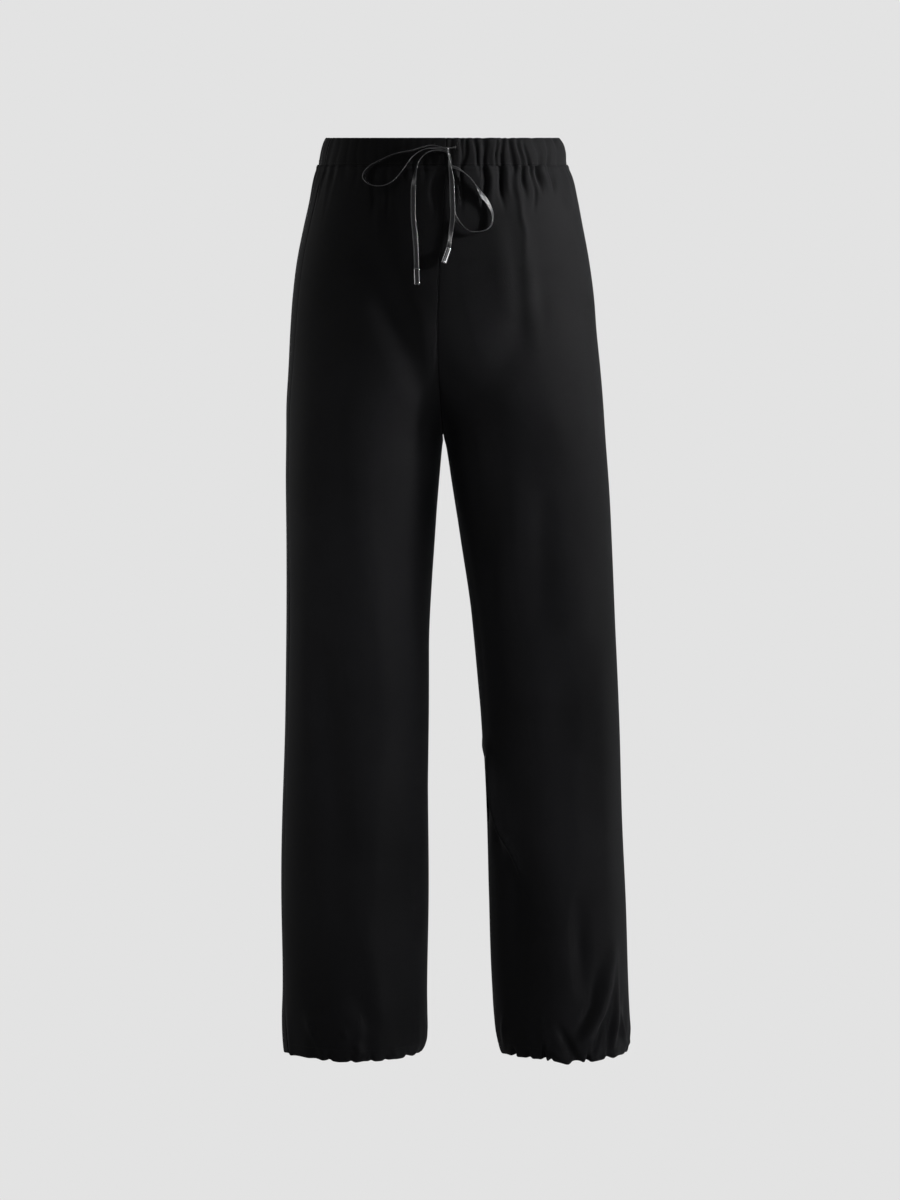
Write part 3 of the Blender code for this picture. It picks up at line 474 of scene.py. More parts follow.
LEFT_END_ROUTE = (
    (12.4, -9.4, -0.6, 0, 1.4), (9.6, -9.9, 1.2, 40, 1.8), (6, -10.9, 2.2, 60, 2), (0.8, -11, 2.2, 20, 2.2),
    (-7, -9.6, 2.2, 10, 2.4), (-15.5, -8.1, 2.5, 60, 2.4), (-26.3, -10, 3.4, 82, 3.4),
    (-37.2, -13.4, 4.4, 80, 4.6), (-46.8, -14.9, 4.8, 86, 5.5), (-59, -17.4, 5, 87, 5.5),
    (-71.2, -22.3, 5.2, 87, 5.5), (-83.5, -28.3, 5.6, 80, 5.5), (-90.2, -35.1, 5.8, 68, 5.5),
    (-91.8, -39.9, 5.8, 60, 5.5), (-89.6, -45.6, 5.8, 68, 5.5), (-83.5, -50.2, 5.6, 80, 5.5),
    (-75.5, -52.1, 5.4, 87, 5.5), (-67.6, -51.3, 5.2, 87, 5.5), (-59, -47.2, 5.2, 87, 5.5),
    (-53, -41.4, 5.2, 87, 5.5), (-46.8, -33.7, 5.2, 87, 5.5), (-42, -26.6, 5.1, 87, 5),
    (-36, -19.5, 4.9, 84, 4.2), (-27.5, -13.7, 4.8, 80, 3.2), (-19.5, -11.3, 4.8, 70, 2.6),
    (-9.3, -11.4, 4.8, 10, 2.6), (-1.5, -12.2, 4.8, 0, 2.4), (2.6, -15.2, 4.8, -30, 2),
    (4, -21.5, 4.8, -40, 2), (4.8, -30.9, 4.8, -25, 3.2), (5.8, -38, 4.6, -8, 4.2), (6.7, -46, 4.4, 0, 5.5),
    (7.5, -63.4, 4.2, 0, 5.5), (8.2, -81.5, 4.1, 0, 5.5), (7.5, -93.5, 3.8, 0, 5.5),
    (6.3, -103.2, 3.4, 5, 5.5), (5, -111.7, 3.2, 35, 5), (4.4, -117, 3.3, 20, 4.8),
    (3.4, -122.4, 3.6, 0, 5),
)

# Each free end: route, length in metres, and its tip's further lean, roll and lift
CORD_ROWS = (
    ("right", RIGHT_END_ROUTE, 0.40, 0.0, 0.0, 0.0),
    ("left", LEFT_END_ROUTE, 0.346, -0.15, -0.44, 0.8),
)

# Metal tips on the two tails: profile of (share of the length, share of the radius)
TIP_LENGTH = 17.5
TIP_HALF_WIDTH = 3.2
TIP_HALF_DEPTH = 2.5
TIP_SQUARENESS = 0.4
TIP_SIDES = 72
TIP_PROFILE = (
    (0, 0.62), (0, 0.90), (0.012, 0.97), (0.035, 1), (0.065, 1), (0.08, 0.965), (0.10, 0.955),
    (0.50, 0.955), (0.90, 0.955), (0.92, 0.965), (0.935, 1), (0.965, 1), (0.988, 0.97), (1, 0.90),
    (1, 0.72), (0.97, 0.70), (0.93, 0.70),
)

# Mesh of the leg panels and of the waistband
PANEL_COLUMNS = 184
PANEL_ROW_RUNS = ((31.3, 50, 16), (50, 130, 32), (130, 940, 150), (940, 1032, 42), (1032, 1047, 14))
BAND_COLUMNS = 160
BAND_ROWS = 26

# Folded edges round off, and cloth sinks towards its seams
EDGE_ROUND = 1.5
EDGE_DROP = 0.9
WAIST_SEAM_SHARE = 0.12
SEAM_ROLL_SHARE = 0.35
SEAM_SINK = 0.2
SEAM_SINK_REACH = 4.0

# Small knot: middle, rings, turns, and its reach across, outwards, down and up
KNOT_PLACE = (1.6, -14.2)
KNOT_RINGS = 60
KNOT_TURNS = 1.2
KNOT_REACH = (2.3, 2.8, 2.4, 0.8)
KNOT_LIFT = 3.0
KNOT_RISE = 1.4
KNOT_WIDTH = 2.4

# Finishes
SHEEN = {"Sheen Weight": 0.03, "Sheen Roughness": 0.32, "Sheen Tint": (0.85, 0.87, 0.95, 1.0)}
COAT = {"Coat Weight": 0.25, "Coat Roughness": 0.25}
YARN_STRETCHES = ((1.0, 1.0, 0.16), (0.22, 0.22, 1.0))
PATCH_SHARE = 0.35
YARN_BUMP = 0.0003

# Seam allowances inside
TAPE_THICKNESS = 0.5
TAPE_OFFSETS = (-5.0, -2.5, 0.0, 2.5, 5.0)
ACROSS = np.array([[1.0, 0.0, 0.0]])
FORTH = np.array([[0.0, 1.0, 0.0]])
UP = np.array([[0.0, 0.0, 1.0]])
LEG_TAPE_INSET = 2.9
BAND_SIDE_TAPE_INSET = 2.6
RISE_TAPE_INSET = 2.6
BAND_FRONT_TAPE_INSET = 1.4
WAIST_TAPE_INSET = 0.5

# Stitches, and their profile of (share of the length, of the thickness, height off the cloth)
STITCH_PROFILE = ((0, 0.25, -0.5), (0.14, 0.85, 0.1), (0.5, 1, 0.3), (0.86, 0.85, 0.1), (1, 0.25, -0.5))
STITCH_SIDES = 6
STITCH_LENGTH = 2.6
STITCH_PITCH = 3.3
STITCH_THICK = 0.34
STITCH_DROP = BAND_HEIGHT - 2.2
STITCH_LINE = (0.004, 0.996, 700)
BUTTONHOLES = (("buttonhole_left", LEFT, 12.4, -9.8), ("buttonhole_right", RIGHT, -12.4, -10.4))
BUTTONHOLE_HALF_HEIGHT = 4.6
BUTTONHOLE_HALF_WIDTH = 1.1
BUTTONHOLE_STITCHES = 44
BUTTONHOLE_STITCH = 1.3
BUTTONHOLE_THICK = 0.6


def hermite(share, span, start, end, start_slope, end_slope):
    """A smooth curve at a share of the way from one knot to the next."""
    rest = 1.0 - share
    value = rest * rest * (1.0 + 2.0 * share) * start + share * share * (1.0 + 2.0 * rest) * end
    return value + span * share * rest * (rest * start_slope - share * end_slope)


def smooth_reader(at, value):
    """A function that reads a column as a smooth curve through its rows."""
    slope = np.gradient(value, at)

    def read(place):
        row = np.clip(np.searchsorted(at, place, side="right") - 1, 0, len(at) - 2)
        span = at[row + 1] - at[row]
        share = np.clip((place - at[row]) / span, 0.0, 1.0)
        return hermite(share, span, value[row], value[row + 1], slope[row], slope[row + 1])

    return read


def smooth_columns(rows):
    """Reads each further column of a table as a smooth curve of its first one."""
    at, *columns = np.array(rows, dtype=float).T
    return [smooth_reader(at, column) for column in columns]


(middle,) = smooth_columns(MIDDLE_ROWS)
right_edge, left_edge, front_depth, back_depth = smooth_columns(GIRTH_ROWS)
right_inseam, left_inseam = smooth_columns(INSEAM_ROWS)
OUTER_EDGE = {RIGHT: right_edge, LEFT: left_edge}
INSEAM_EDGE = {RIGHT: right_inseam, LEFT: left_inseam}
DEPTH = {FRONT: front_depth, BACK: back_depth}


def ease(value, start, end):
    """Goes smoothly from 0 at start to 1 at end."""
    share = np.clip((value - start) / (end - start), 0.0, 1.0)
    return share * share * (3.0 - 2.0 * share)


def gap_side(side, drop):
    """How far a leg's inseam lies off the middle."""
    return np.where(drop <= CROTCH_DROP, 0.0, INSEAM_EDGE[side](drop) - MIDDLE_AT_CROTCH)


def inner_edge(side, drop):
    """The x where a side's oval starts: the middle, which turns into the inseam."""
    return middle(drop) + gap_side(side, drop) * ease(drop, CROTCH_DROP, GAP_SPREAD_DROP)


def cleft(drop):
    """How far the two sides have parted into legs, from 0 to 1."""
    share = (drop - CLEFT_START_DROP) / (CROTCH_DROP - CLEFT_START_DROP)
    return 1.0 - (1.0 - np.clip(share, 0.0, 1.0) ** CLEFT_POWER) ** 2


def side_radius(side, drop):
    """Half the width of a side's oval."""
    return np.abs(OUTER_EDGE[side](drop) - inner_edge(side, drop)) / (1.0 + cleft(drop))


def waist_tilt(depth, drop):
    """How far the tilted waist lowers the front and raises the back."""
    tilt = np.where(depth < 0.0, FRONT_TILT, BACK_TILT)
    return tilt * depth * (1.0 - ease(drop, TILT_FULL_DROP, TILT_END_DROP))


def outside(side, turn, drop):
    """Point on the smooth outside. Turn 0 is the side, and a positive turn goes to the front."""
    level = np.cos(turn)
    x = inner_edge(side, drop) + side * side_radius(side, drop) * (cleft(drop) + level)
    near_gap = ((1.0 - level) / 2) ** GAP_POWER * (1.0 - ease(drop, CROTCH_DROP, GAP_SPREAD_DROP))
    x = x + gap_side(side, drop) * near_gap
    reach = np.where(turn > 0.0, DEPTH[FRONT](drop), DEPTH[BACK](drop))
    y = -reach * np.sin(turn)
    z = WAIST_TOP - drop + waist_tilt(y, drop)
    return np.stack(np.broadcast_arrays(x, y, z), axis=-1)


def outward(side, turn, drop):
    """Direction straight out of the smooth outside."""
    turn_step = 0.002
    drop_step = 0.5
    along = outside(side, turn + turn_step, drop) - outside(side, turn - turn_step, drop)
    down = outside(side, turn, drop + drop_step) - outside(side, turn, drop - drop_step)
    normal = side * np.cross(along, down)
    return normal / np.linalg.norm(normal, axis=-1, keepdims=True)


def panel_turn(side, face, across, drop):
    """Turn at a share of the way across a panel, from its side seam to its inner seam."""
    seam = SIDE_SEAM_TURN[side]
    end = face * np.arccos(-cleft(drop))
    speed = np.hypot(side_radius(side, drop) * math.sin(seam), DEPTH[face](drop) * math.cos(seam))
    clear = face * (SEAM_GAP / 2) / speed
    return seam + (end - seam) * across + clear * (1.0 - across)


def gather_phase(side, face, across, count):
    """Counts the gathers across a panel, unevenly spaced."""
    phase = count * across
    for share, waves in zip(DRIFTS[side, face], DRIFT_WAVES):
        phase = phase + share * np.sin(waves * math.pi * across)
    return phase


def gather_wave(side, face, across, count):
    """One gather after another: narrow valleys, round crests and uneven heights."""
    phase = gather_phase(side, face, across, count)
    swell = np.sin(GATHER_UNEVEN_RATE * phase + DRIFTS[side, face][-1])
    height = GATHER_MEAN_HEIGHT + GATHER_UNEVEN_HEIGHT * swell
    return height * (1.0 - 2.0 * np.abs(np.cos(math.pi * phase)) ** GATHER_SHARPNESS)


def gather_reach(side, face, across, count, short, long):
    """How far each gather runs from its seam, different for every one."""
    phase = gather_phase(side, face, across, count)
    uneven = 0.5
    for share, rate, shift in REACH_WAVES:
        uneven = uneven + share * np.sin(rate * phase + shift * DRIFTS[side, face][-1])
    return short + (long - short) * uneven


def crease_relief(x, drop, creases):
    """Height of creases that follow lines: ridges rise and troughs sink."""
    shape = np.broadcast(x, drop).shape
    total = np.zeros(shape)
    for width, *line in creases:
        nearest = np.full(shape, np.inf)
        height = np.zeros(shape)
        for (x_top, top, start), (x_low, low, end) in zip(line, line[1:]):
            across, down = x_low - x_top, low - top
            share = ((x - x_top) * across + (drop - top) * down) / (across ** 2 + down ** 2)
            share = np.clip(share, 0.0, 1.0)
            away = (x - x_top - share * across) ** 2 + (drop - top - share * down) ** 2
            closer = away < nearest
            nearest = np.where(closer, away, nearest)
            height = np.where(closer, start + (end - start) * ease(share, 0.0, 1.0), height)
        total += height * np.exp(-nearest / width ** 2)
    return total


def swayed(x, drop):
    """Bends the waist gathers a little from side to side on their way down."""
    sway = sum(height * np.sin(drop / down + x / along) for height, down, along in SWAY_WAVES)
    return x + sway * (1.0 - ease(drop, *SWAY_END))


def fold_relief(side, face, across, x, drop):
    """Height of the large folds, which die out at the side seam and the inner seam."""
    total = np.zeros(np.broadcast(x, drop).shape)
    for x_top, top, x_low, low, width, height in FOLDS[side, face]:
        share = np.clip((drop - top) / (low - top), 0.0, 1.0)
        line = x_top + (x_low - x_top) * share
        swell = np.sin(math.pi * share) ** FOLD_END_POWER
        total += FOLD_SHARE * height * swell * np.exp(-(((x - line) / width) ** 2))
    return total * ease(across, 0.0, FOLD_SEAM_SHARE) * ease(1.0 - across, 0.0, FOLD_SEAM_SHARE)


def slow_ripple(side, face, x, drop):
    """Slight unevenness of hanging cloth. Places are divided by the lengths of its waves."""
    start = 1.7 * side + 2.9 * face
    wave = np.sin(x / 17.0 + 1.3 * np.sin(drop / 83.0 + start) + start)
    wave = wave + 0.7 * np.sin(x / 9.7 - drop / 141.0 + 2.0 * start)
    wave = wave + 0.5 * np.sin(drop / 37.0 + 0.8 * np.sin(x / 23.0) + 3.0 * start)
    return RIPPLE_HEIGHT * (0.4 + 0.6 * ease(drop, *RIPPLE_GROWTH)) * wave


def rounded_edge(away):
    """Sinks a folded edge of cloth, by the distance away from it."""
    share = np.clip(1.0 - away / EDGE_ROUND, 0.0, 1.0)
    return -EDGE_DROP * (1.0 - np.sqrt(1.0 - share * share * 0.999))


def seam_pull(points):
    """Sinks the cloth towards the seams at both ends of every row."""
    steps = np.linalg.norm(np.diff(points, axis=1), axis=-1)
    run = np.concatenate((np.zeros((steps.shape[0], 1)), np.cumsum(steps, axis=1)), axis=1)
    ends = np.minimum(run, run[:, -1:] - run)
    return SEAM_ROLL_SHARE * rounded_edge(ends) - SEAM_SINK * np.exp(-((ends / SEAM_SINK_REACH) ** 2))


def keep_apart(side, face, points, drop, across):
    """Holds a panel's edge half a seam gap off the middle and off the inseam."""
    half = SEAM_GAP / 2
    plane = middle(drop)
    held = plane + side * np.maximum(side * (points[..., 0] - plane), half)
    points[..., 0] = np.where(drop <= CROTCH_DROP, held, points[..., 0])
    last = np.broadcast_to(across > 0.999, points.shape[:-1])
    edge = -face * np.maximum(-face * points[..., 1], half)
    points[..., 1] = np.where(last, edge, points[..., 1])
    return points


def leg_relief(side, face, across, x, drop):
    """Height of everything on a leg panel."""
    boost = 1.0 + WAIST_CREASE_BOOST[side] * (1.0 - ease(drop, *WAIST_BOOST_END))
    boost = boost + LOW_CREASE_BOOST[side] * ease(drop, *LOW_BOOST_START)
    relief = fold_relief(side, face, across, x, drop)
    relief += boost * crease_relief(swayed(x, drop), drop, LEG_CREASES[side, face])
    below_band = ease(drop, BAND_HEIGHT, BAND_HEIGHT + 60)
    relief += slow_ripple(side, face, x, drop) * below_band
    end = gather_reach(side, face, across, WAIST_GATHERS, *WAIST_GATHER_END)
    waist = WAIST_GATHER_HEIGHT * (1.0 - ease(drop, BAND_HEIGHT + 4, end))
    start = gather_reach(side, face, across, HEM_GATHERS, *HEM_GATHER_START)
    hem = HEM_GATHER_HEIGHT * ease(drop, start, HEM_DROP - 8)
    if face == FRONT:
        near_side = np.exp(-((across / WAIST_SIDE_REACH) ** 2))
        waist = waist * near_side
        hem = hem * (HEM_FRONT_SHARE + HEM_SIDE_SHARE * near_side)
        relief += FRONT_LEG_PUFF * (1.0 - below_band)
    relief += waist * gather_wave(side, face, across, WAIST_GATHERS)
    relief += hem * gather_wave(side, face, across, HEM_GATHERS)
    height, below, width = SEAM_RIDGE
    relief += height * np.exp(-(((drop - BAND_HEIGHT - below) / width) ** 2))
    return relief


def leg_rows(side, face, drop, across, wall=None):
    """Outer points of a leg panel, or points a wall further in."""
    turn = panel_turn(side, face, across, drop)
    base = outside(side, turn, drop)
    normal = outward(side, turn, drop)
    relief = leg_relief(side, face, across, base[..., 0], drop)
    ends = WAIST_SEAM_SHARE * rounded_edge(drop - BAND_HEIGHT - SEAM_GAP) + rounded_edge(HEM_DROP - drop)
    outer = base + normal * relief[..., None]
    outer = outer + normal * (ends + seam_pull(base))[..., None]
    near_hem = HEM_NOTCH_SHARE * ease(drop, HEM_DROP - 16, HEM_DROP)
    outer[..., 2] -= near_hem * np.clip(relief, -HEM_NOTCH_LIMIT, 0.5 * HEM_NOTCH_LIMIT)
    if face == FRONT:
        centre, half, depth = HEM_SAGS[side]
        sag = depth * np.exp(-(((base[..., 0] - centre) / half) ** 2))
        outer[..., 2] -= sag * ease(drop, HEM_SAG_START, HEM_DROP)
    if wall is not None:
        outer = outer - normal * wall
    return keep_apart(side, face, outer, drop, across)


def band_relief(side, face, across, x, drop):
    """Height of the waistband's puff and gathers."""
    relief = BAND_PUFF * np.sin(math.pi * drop / BAND_HEIGHT)
    near_side = 1.0
    if face == FRONT:
        creases = crease_relief(swayed(x, drop), drop, BAND_CREASES[side])
        relief = relief + FRONT_BAND_PUFF + BAND_CREASE_SHARE[side] * creases
        near_side = np.exp(-((across / BAND_SIDE_REACH) ** 2))
    lean = across + BAND_GATHER_LEAN * (drop / BAND_HEIGHT - 0.5)
    return relief + BAND_GATHER_HEIGHT * near_side * gather_wave(side, face, lean, WAIST_GATHERS)


def band_rows(side, face, drop, across, wall=None):
    """Outer points of a quarter of the waistband, or its plainer inside."""
    turn = panel_turn(side, face, across, drop)
    base = outside(side, turn, drop)
    relief = band_relief(side, face, across, base[..., 0], drop)
    if wall is not None:
        relief = BAND_INSIDE_SHARE * relief - wall
    else:
        relief = relief + rounded_edge(drop) + WAIST_SEAM_SHARE * rounded_edge(BAND_HEIGHT - drop)
        if face == FRONT:
            relief = relief + seam_pull(base)
    points = base + outward(side, turn, drop) * relief[..., None]
    return keep_apart(side, face, points, drop, across)


def grid_faces(at):
    """Faces of a grid of vertices, from their indices."""
    quads = np.stack((at[:-1, :-1], at[:-1, 1:], at[1:, 1:], at[1:, :-1]), axis=-1)
    return quads.reshape(-1, 4).tolist()


def tube_faces(rings, sides):
    """Faces of a closed tube of rings of vertices."""
    at = np.arange(rings * sides).reshape(rings, sides)
    around = grid_faces(np.column_stack((at, at[:, 0])))
    return around + [at[0, ::-1].tolist(), at[-1].tolist()]


def strip_faces(fine, coarse):
    """Faces between a fine line of vertices and one half as fine, or as fine."""
    ratio = (len(fine) - 1) // (len(coarse) - 1)
    runs = [fine[at * ratio:(at + 1) * ratio + 1] for at in range(len(coarse) - 1)]
    return [[start, *run, end] for start, run, end in zip(coarse, runs, coarse[1:])]


def closed_wall(name, outer, inner, material):
    """Closes a wall of cloth over an outer grid and a coarser inner one."""
    out_at = np.arange(outer[..., 0].size).reshape(outer.shape[:2])
    in_at = out_at.size + np.arange(inner[..., 0].size).reshape(inner.shape[:2])
    faces = grid_faces(out_at) + [face[::-1] for face in grid_faces(in_at)]
    edges = (
        (out_at[0], in_at[0], -1),
        (out_at[-1], in_at[-1], 1),
        (out_at[:, 0], in_at[:, 0], 1),
        (out_at[:, -1], in_at[:, -1], -1),
    )
    for fine, coarse, order in edges:
        faces += [face[::order] for face in strip_faces(fine.tolist(), coarse.tolist())]
    points = np.concatenate((outer.reshape(-1, 3), inner.reshape(-1, 3)))
    return mesh_object(name, points, faces, material)


def mesh_object(name, points, faces, material, sharp=50):
    """Makes a smooth-shaded object from millimetres, with its faces turned outwards."""
    mesh = bpy.data.meshes.new(name)
    mesh.from_pydata((np.array(points) * MILLIMETRE).tolist(), [], faces)
    mesh.update()
    if sum(face.center.dot(face.normal) * face.area for face in mesh.polygons) < 0.0:
        mesh.flip_normals()
    mesh.shade_smooth()
    mesh.set_sharp_from_angle(angle=math.radians(sharp))
    mesh.materials.append(material)
    made = bpy.data.objects.new(name, mesh)
    bpy.context.scene.collection.objects.link(made)
    return made


def new_material(name, colour, roughness, settings):
    """A Principled material."""
    material = bpy.data.materials.new(name)
    material.use_nodes = True
    shader = material.node_tree.nodes["Principled BSDF"]
    for port, value in {"Base Color": (*colour, 1.0), "Roughness": roughness, **settings}.items():
        shader.inputs[port].default_value = value
    return material, shader


def add_node(material, kind, *ports, operation=None, **named):
    """Adds a node. Each input, by place or by name, is a value or what another node gives."""
    node = material.node_tree.nodes.new(kind)
    if operation:
        node.operation = operation
    for port, value in (*enumerate(ports), *named.items()):
        if isinstance(value, bpy.types.NodeSocket):
            material.node_tree.links.new(value, node.inputs[port])
        else:
            node.inputs[port].default_value = value
    return node


def tone_ramp(material, factor, low, high, start=0.0, end=1.0):
    """Turns a factor into a tone between two."""
    ramp = add_node(material, "ShaderNodeValToRGB", Fac=factor)
    for stop, place, tone in zip(ramp.color_ramp.elements, (start, end), (low, high)):
        stop.position = place
        stop.color = (*tone, 1.0)
    return ramp.outputs["Color"]


def woven(name, colour, roughness, gloss, low, high, yarn, bump, patch, more):
    """A finish with yarns both ways, a patchy tone from low to high and a rough grain."""
    material, shader = new_material(name, colour, roughness, {"Specular IOR Level": gloss, **more})
    links = material.node_tree.links
    place = add_node(material, "ShaderNodeTexCoord").outputs["Object"]
    heights = []
    for stretch in YARN_STRETCHES:
        spun = add_node(material, "ShaderNodeMapping", Vector=place, Scale=stretch).outputs["Vector"]
        noise = add_node(material, "ShaderNodeTexNoise", Vector=spun, Scale=yarn, Detail=1.5, Roughness=0.55)
        heights.append(noise.outputs["Fac"])
    grain = add_node(material, "ShaderNodeMath", *heights).outputs["Value"]
    relief = add_node(material, "ShaderNodeBump", Strength=bump, Distance=YARN_BUMP, Height=grain)
    broad = add_node(material, "ShaderNodeTexNoise", Vector=place, Scale=patch, Detail=3.0, Roughness=0.6)
    mixed = add_node(
        material, "ShaderNodeMath", grain, PATCH_SHARE, broad.outputs["Fac"], operation="MULTIPLY_ADD",
    )
    links.new(relief.outputs["Normal"], shader.inputs["Normal"])
    links.new(tone_ramp(material, mixed.outputs["Value"], low, high, 0.55, 1.1), shader.inputs["Base Color"])
    return material


def polished(name):
    """Bright metal with a slightly uneven polish."""
    material, shader = new_material(name, (0.80, 0.80, 0.82), 0.13, {"Metallic": 1.0})
    place = add_node(material, "ShaderNodeTexCoord").outputs["Object"]
    grain = add_node(material, "ShaderNodeTexNoise", Vector=place, Scale=900.0, Detail=3.0, Roughness=0.6)
    tone = tone_ramp(material, grain.outputs["Fac"], (0.05, 0.05, 0.05), (0.11, 0.11, 0.11))
    material.node_tree.links.new(tone, shader.inputs["Roughness"])
    return material


def make_materials():
    """The finishes of cloth, waistband, thread, cord and tips, and a lighter cord colour that paints highlights on the
    cord's rolled edges.
    """
    black = (0.008, 0.008, 0.009)
    low, high = (0.0042, 0.0042, 0.0047), (0.0080, 0.0080, 0.0090)
    cloth = woven("cloth_weave", black, 0.72, 0.12, low, high, 2600.0, 0.35, 6.0, SHEEN)
    low, high = (0.0040, 0.0040, 0.0045), (0.0078, 0.0078, 0.0086)
    band = woven("band_weave", black, 0.74, 0.12, low, high, 2600.0, 0.35, 9.0, SHEEN)
    low, high = (0.004, 0.004, 0.0045), (0.009, 0.009, 0.010)
    thread = woven("sewing_thread", (0.006, 0.006, 0.007), 0.6, 0.2, low, high, 5200.0, 0.5, 40.0, {})
    low, high = (0.016, 0.016, 0.017), (0.030, 0.030, 0.032)
    cord = woven("cord_gloss", (0.016, 0.016, 0.018), 0.34, 0.75, low, high, 1500.0, 0.45, 30.0, COAT)
    # Rolled edges of the cord: glossier than its face, and lighter in colour as a painted highlight
    low, high = (0.075, 0.075, 0.078), (0.120, 0.120, 0.125)
    edge = woven("cord_edge_painted_highlight", (0.05, 0.05, 0.053), 0.32, 1.0, low, high, 1500.0, 0.45, 30.0, {})
    return cloth, band, thread, cord, edge, polished("tip_polish")


def front_surface(x, z):
    """Point on the smooth front of the trousers at an x and a z."""
    drop = WAIST_TOP - z
    for _ in range(6):
        side = LEFT if x > middle(drop) else RIGHT
        level = side * (x - inner_edge(side, drop)) / side_radius(side, drop) - cleft(drop)
        turn = np.arccos(np.clip(level, -1.0, 1.0))
        depth = -DEPTH[FRONT](drop) * np.sin(turn)
        drop = WAIST_TOP - z + waist_tilt(depth, drop)
    return np.array((x, float(depth), z))


def smooth_route(route, steps):
    """Reads a route as a smooth curve: places, edge-on turns and widths."""
    x, z, lift, turn, width = np.array(route, dtype=float).T
    places = np.array([front_surface(*place) for place in zip(x, z)])
    places[:, 1] -= lift + CLOTH_PUFF
    values = np.column_stack((places, turn, width))
    reach = np.linalg.norm(np.diff(places, axis=0), axis=1) ** 0.5
    knots = np.concatenate(([0.0], np.cumsum(reach)))
    slopes = np.gradient(values, knots, axis=0)
    curve = [
        hermite(step / steps, knots[at + 1] - knots[at], *values[at:at + 2], *slopes[at:at + 2])
        for at in range(len(values) - 1)
        for step in range(steps)
    ]
    curve = np.array([*curve, values[-1]])
    if steps >= CORD_STEPS:
        around = np.ones(CORD_SMOOTHING) / CORD_SMOOTHING
        for column in (3, 4):
            padded = np.pad(curve[:, column], CORD_SMOOTHING // 2, mode="edge")
            curve[:, column] = np.convolve(padded, around, mode="valid")
    return curve


def squared(value, power):
    """Raises a value to a power and keeps its sign."""
    return math.copysign(abs(value) ** power, value)


def braid_section():
    """Cross-section of the flat cord, a share of its width and thickness, with a rolled edge."""
    section = []
    for at in range(CORD_SIDES):
        turn = 2 * math.pi * at / CORD_SIDES
        wide = squared(math.cos(turn), 0.45)
        rolled = 0.72 + 0.28 * math.exp(-(((abs(wide) - 0.84) / 0.14) ** 2))
        section.append((wide / 2, squared(math.sin(turn), 0.75) * rolled / 2))
    return section


def paint_edge_highlights(piece, section, material):
    """Gives the rolled edges of a flat cord a glossier finish, and a lighter colour that is a painted highlight."""
    piece.data.materials.append(material)
    beside = section[1:] + section[:1]
    # Faces out towards the edges take the painted highlight
    edge = [abs(one[0] + other[0]) / 2 > CORD_HIGHLIGHT_SHARE for one, other in zip(section, beside)]
    for face in piece.data.polygons:
        if len(face.vertices) == 4:
            face.material_index = int(edge[face.index % len(section)])


def flat_cord(name, route, material, highlight_material):
    """The braided cord along its route, with a painted highlight on its rolled edges, and with its path, its end and
    its direction there.
    """
    curve = smooth_route(route, CORD_STEPS)
    places = [Vector(point) for point in curve[:, :3]]
    facing = Vector((0.0, -1.0, 0.0))
    section = braid_section()
    points = []
    for at, place in enumerate(places):
        along = (places[min(at + 1, len(places) - 1)] - places[max(at - 1, 0)]).normalized()
        out = (facing - along * facing.dot(along)).normalized()
        turn = math.radians(curve[at, 3])
        broad = along.cross(out) * math.cos(turn) + out * math.sin(turn)
        thin = along.cross(broad) * CORD_THICKNESS
        points += [place + broad * (wide * curve[at, 4]) + thin * thick for wide, thick in section]
    made = mesh_object(name, points, tube_faces(len(places), CORD_SIDES), material)
    paint_edge_highlights(made, section, highlight_material)
    path = [tuple(place * MILLIMETRE) for place in places[::PATH_STEP]]
    if len(places) % PATH_STEP != 1:
        path.append(tuple(places[-1] * MILLIMETRE))
    before, end = (Vector(point) for point in smooth_route(route, 2)[-2:, :3])
    return made, path, end, (end - before).normalized()


def turned_tip(name, end, along, material, lean, roll, lift):
    """A polished metal tip on the end of its cord: flat-faced, with a rolled rim at both ends."""
    along = (along + Vector((lean, 0.0, 0.0))).normalized()
    across = Quaternion(along, roll) @ along.cross(Vector((0.0, -1.0, 0.0))).normalized()
    beside = along.cross(across)
    top = end + along * SEAM_GAP - Vector((0.0, lift, 0.0))
    turns = [2 * math.pi * at / TIP_SIDES for at in range(TIP_SIDES)]
    points = []
    for share, radius in TIP_PROFILE:
        for turn in turns:
            out = across * (squared(math.cos(turn), TIP_SQUARENESS) * TIP_HALF_WIDTH)
            out += beside * (squared(math.sin(turn), TIP_SQUARENESS) * TIP_HALF_DEPTH)
            points.append(top + along * (share * TIP_LENGTH) + out * radius)
    return mesh_object(name, points, tube_faces(len(TIP_PROFILE), TIP_SIDES), material, sharp=60)


def knot_wrap(name, material):
    """The small knot where both ends cross: a flat cord wound once round them."""
    centre = front_surface(*KNOT_PLACE)
    across, outwards, down, up = KNOT_REACH
    points = []
    for at in range(KNOT_RINGS + 1):
        share = at / KNOT_RINGS
        turn = 2 * math.pi * KNOT_TURNS * share
        place = Vector((
            centre[0] + across * math.cos(turn),
            centre[1] - CLOTH_PUFF - KNOT_LIFT - outwards * math.sin(turn),
            centre[2] + KNOT_RISE - down * share + up * math.cos(turn),
        ))
        along = Vector((-math.sin(turn), -math.cos(turn), -0.22)).normalized()
        out = Vector((math.cos(turn), -math.sin(turn), 0.0))
        broad = along.cross(out).normalized() * KNOT_WIDTH
        points += [place + broad * wide + out * (thick * CORD_THICKNESS) for wide, thick in braid_section()]
    return mesh_object(name, points, tube_faces(KNOT_RINGS + 1, CORD_SIDES), material)


def row_drops():
    """Drops of a leg panel's fine rows."""
    runs = [np.linspace(start, end, count, endpoint=False) for start, end, count in PANEL_ROW_RUNS]
    return np.concatenate(runs + [np.array([HEM_DROP])])


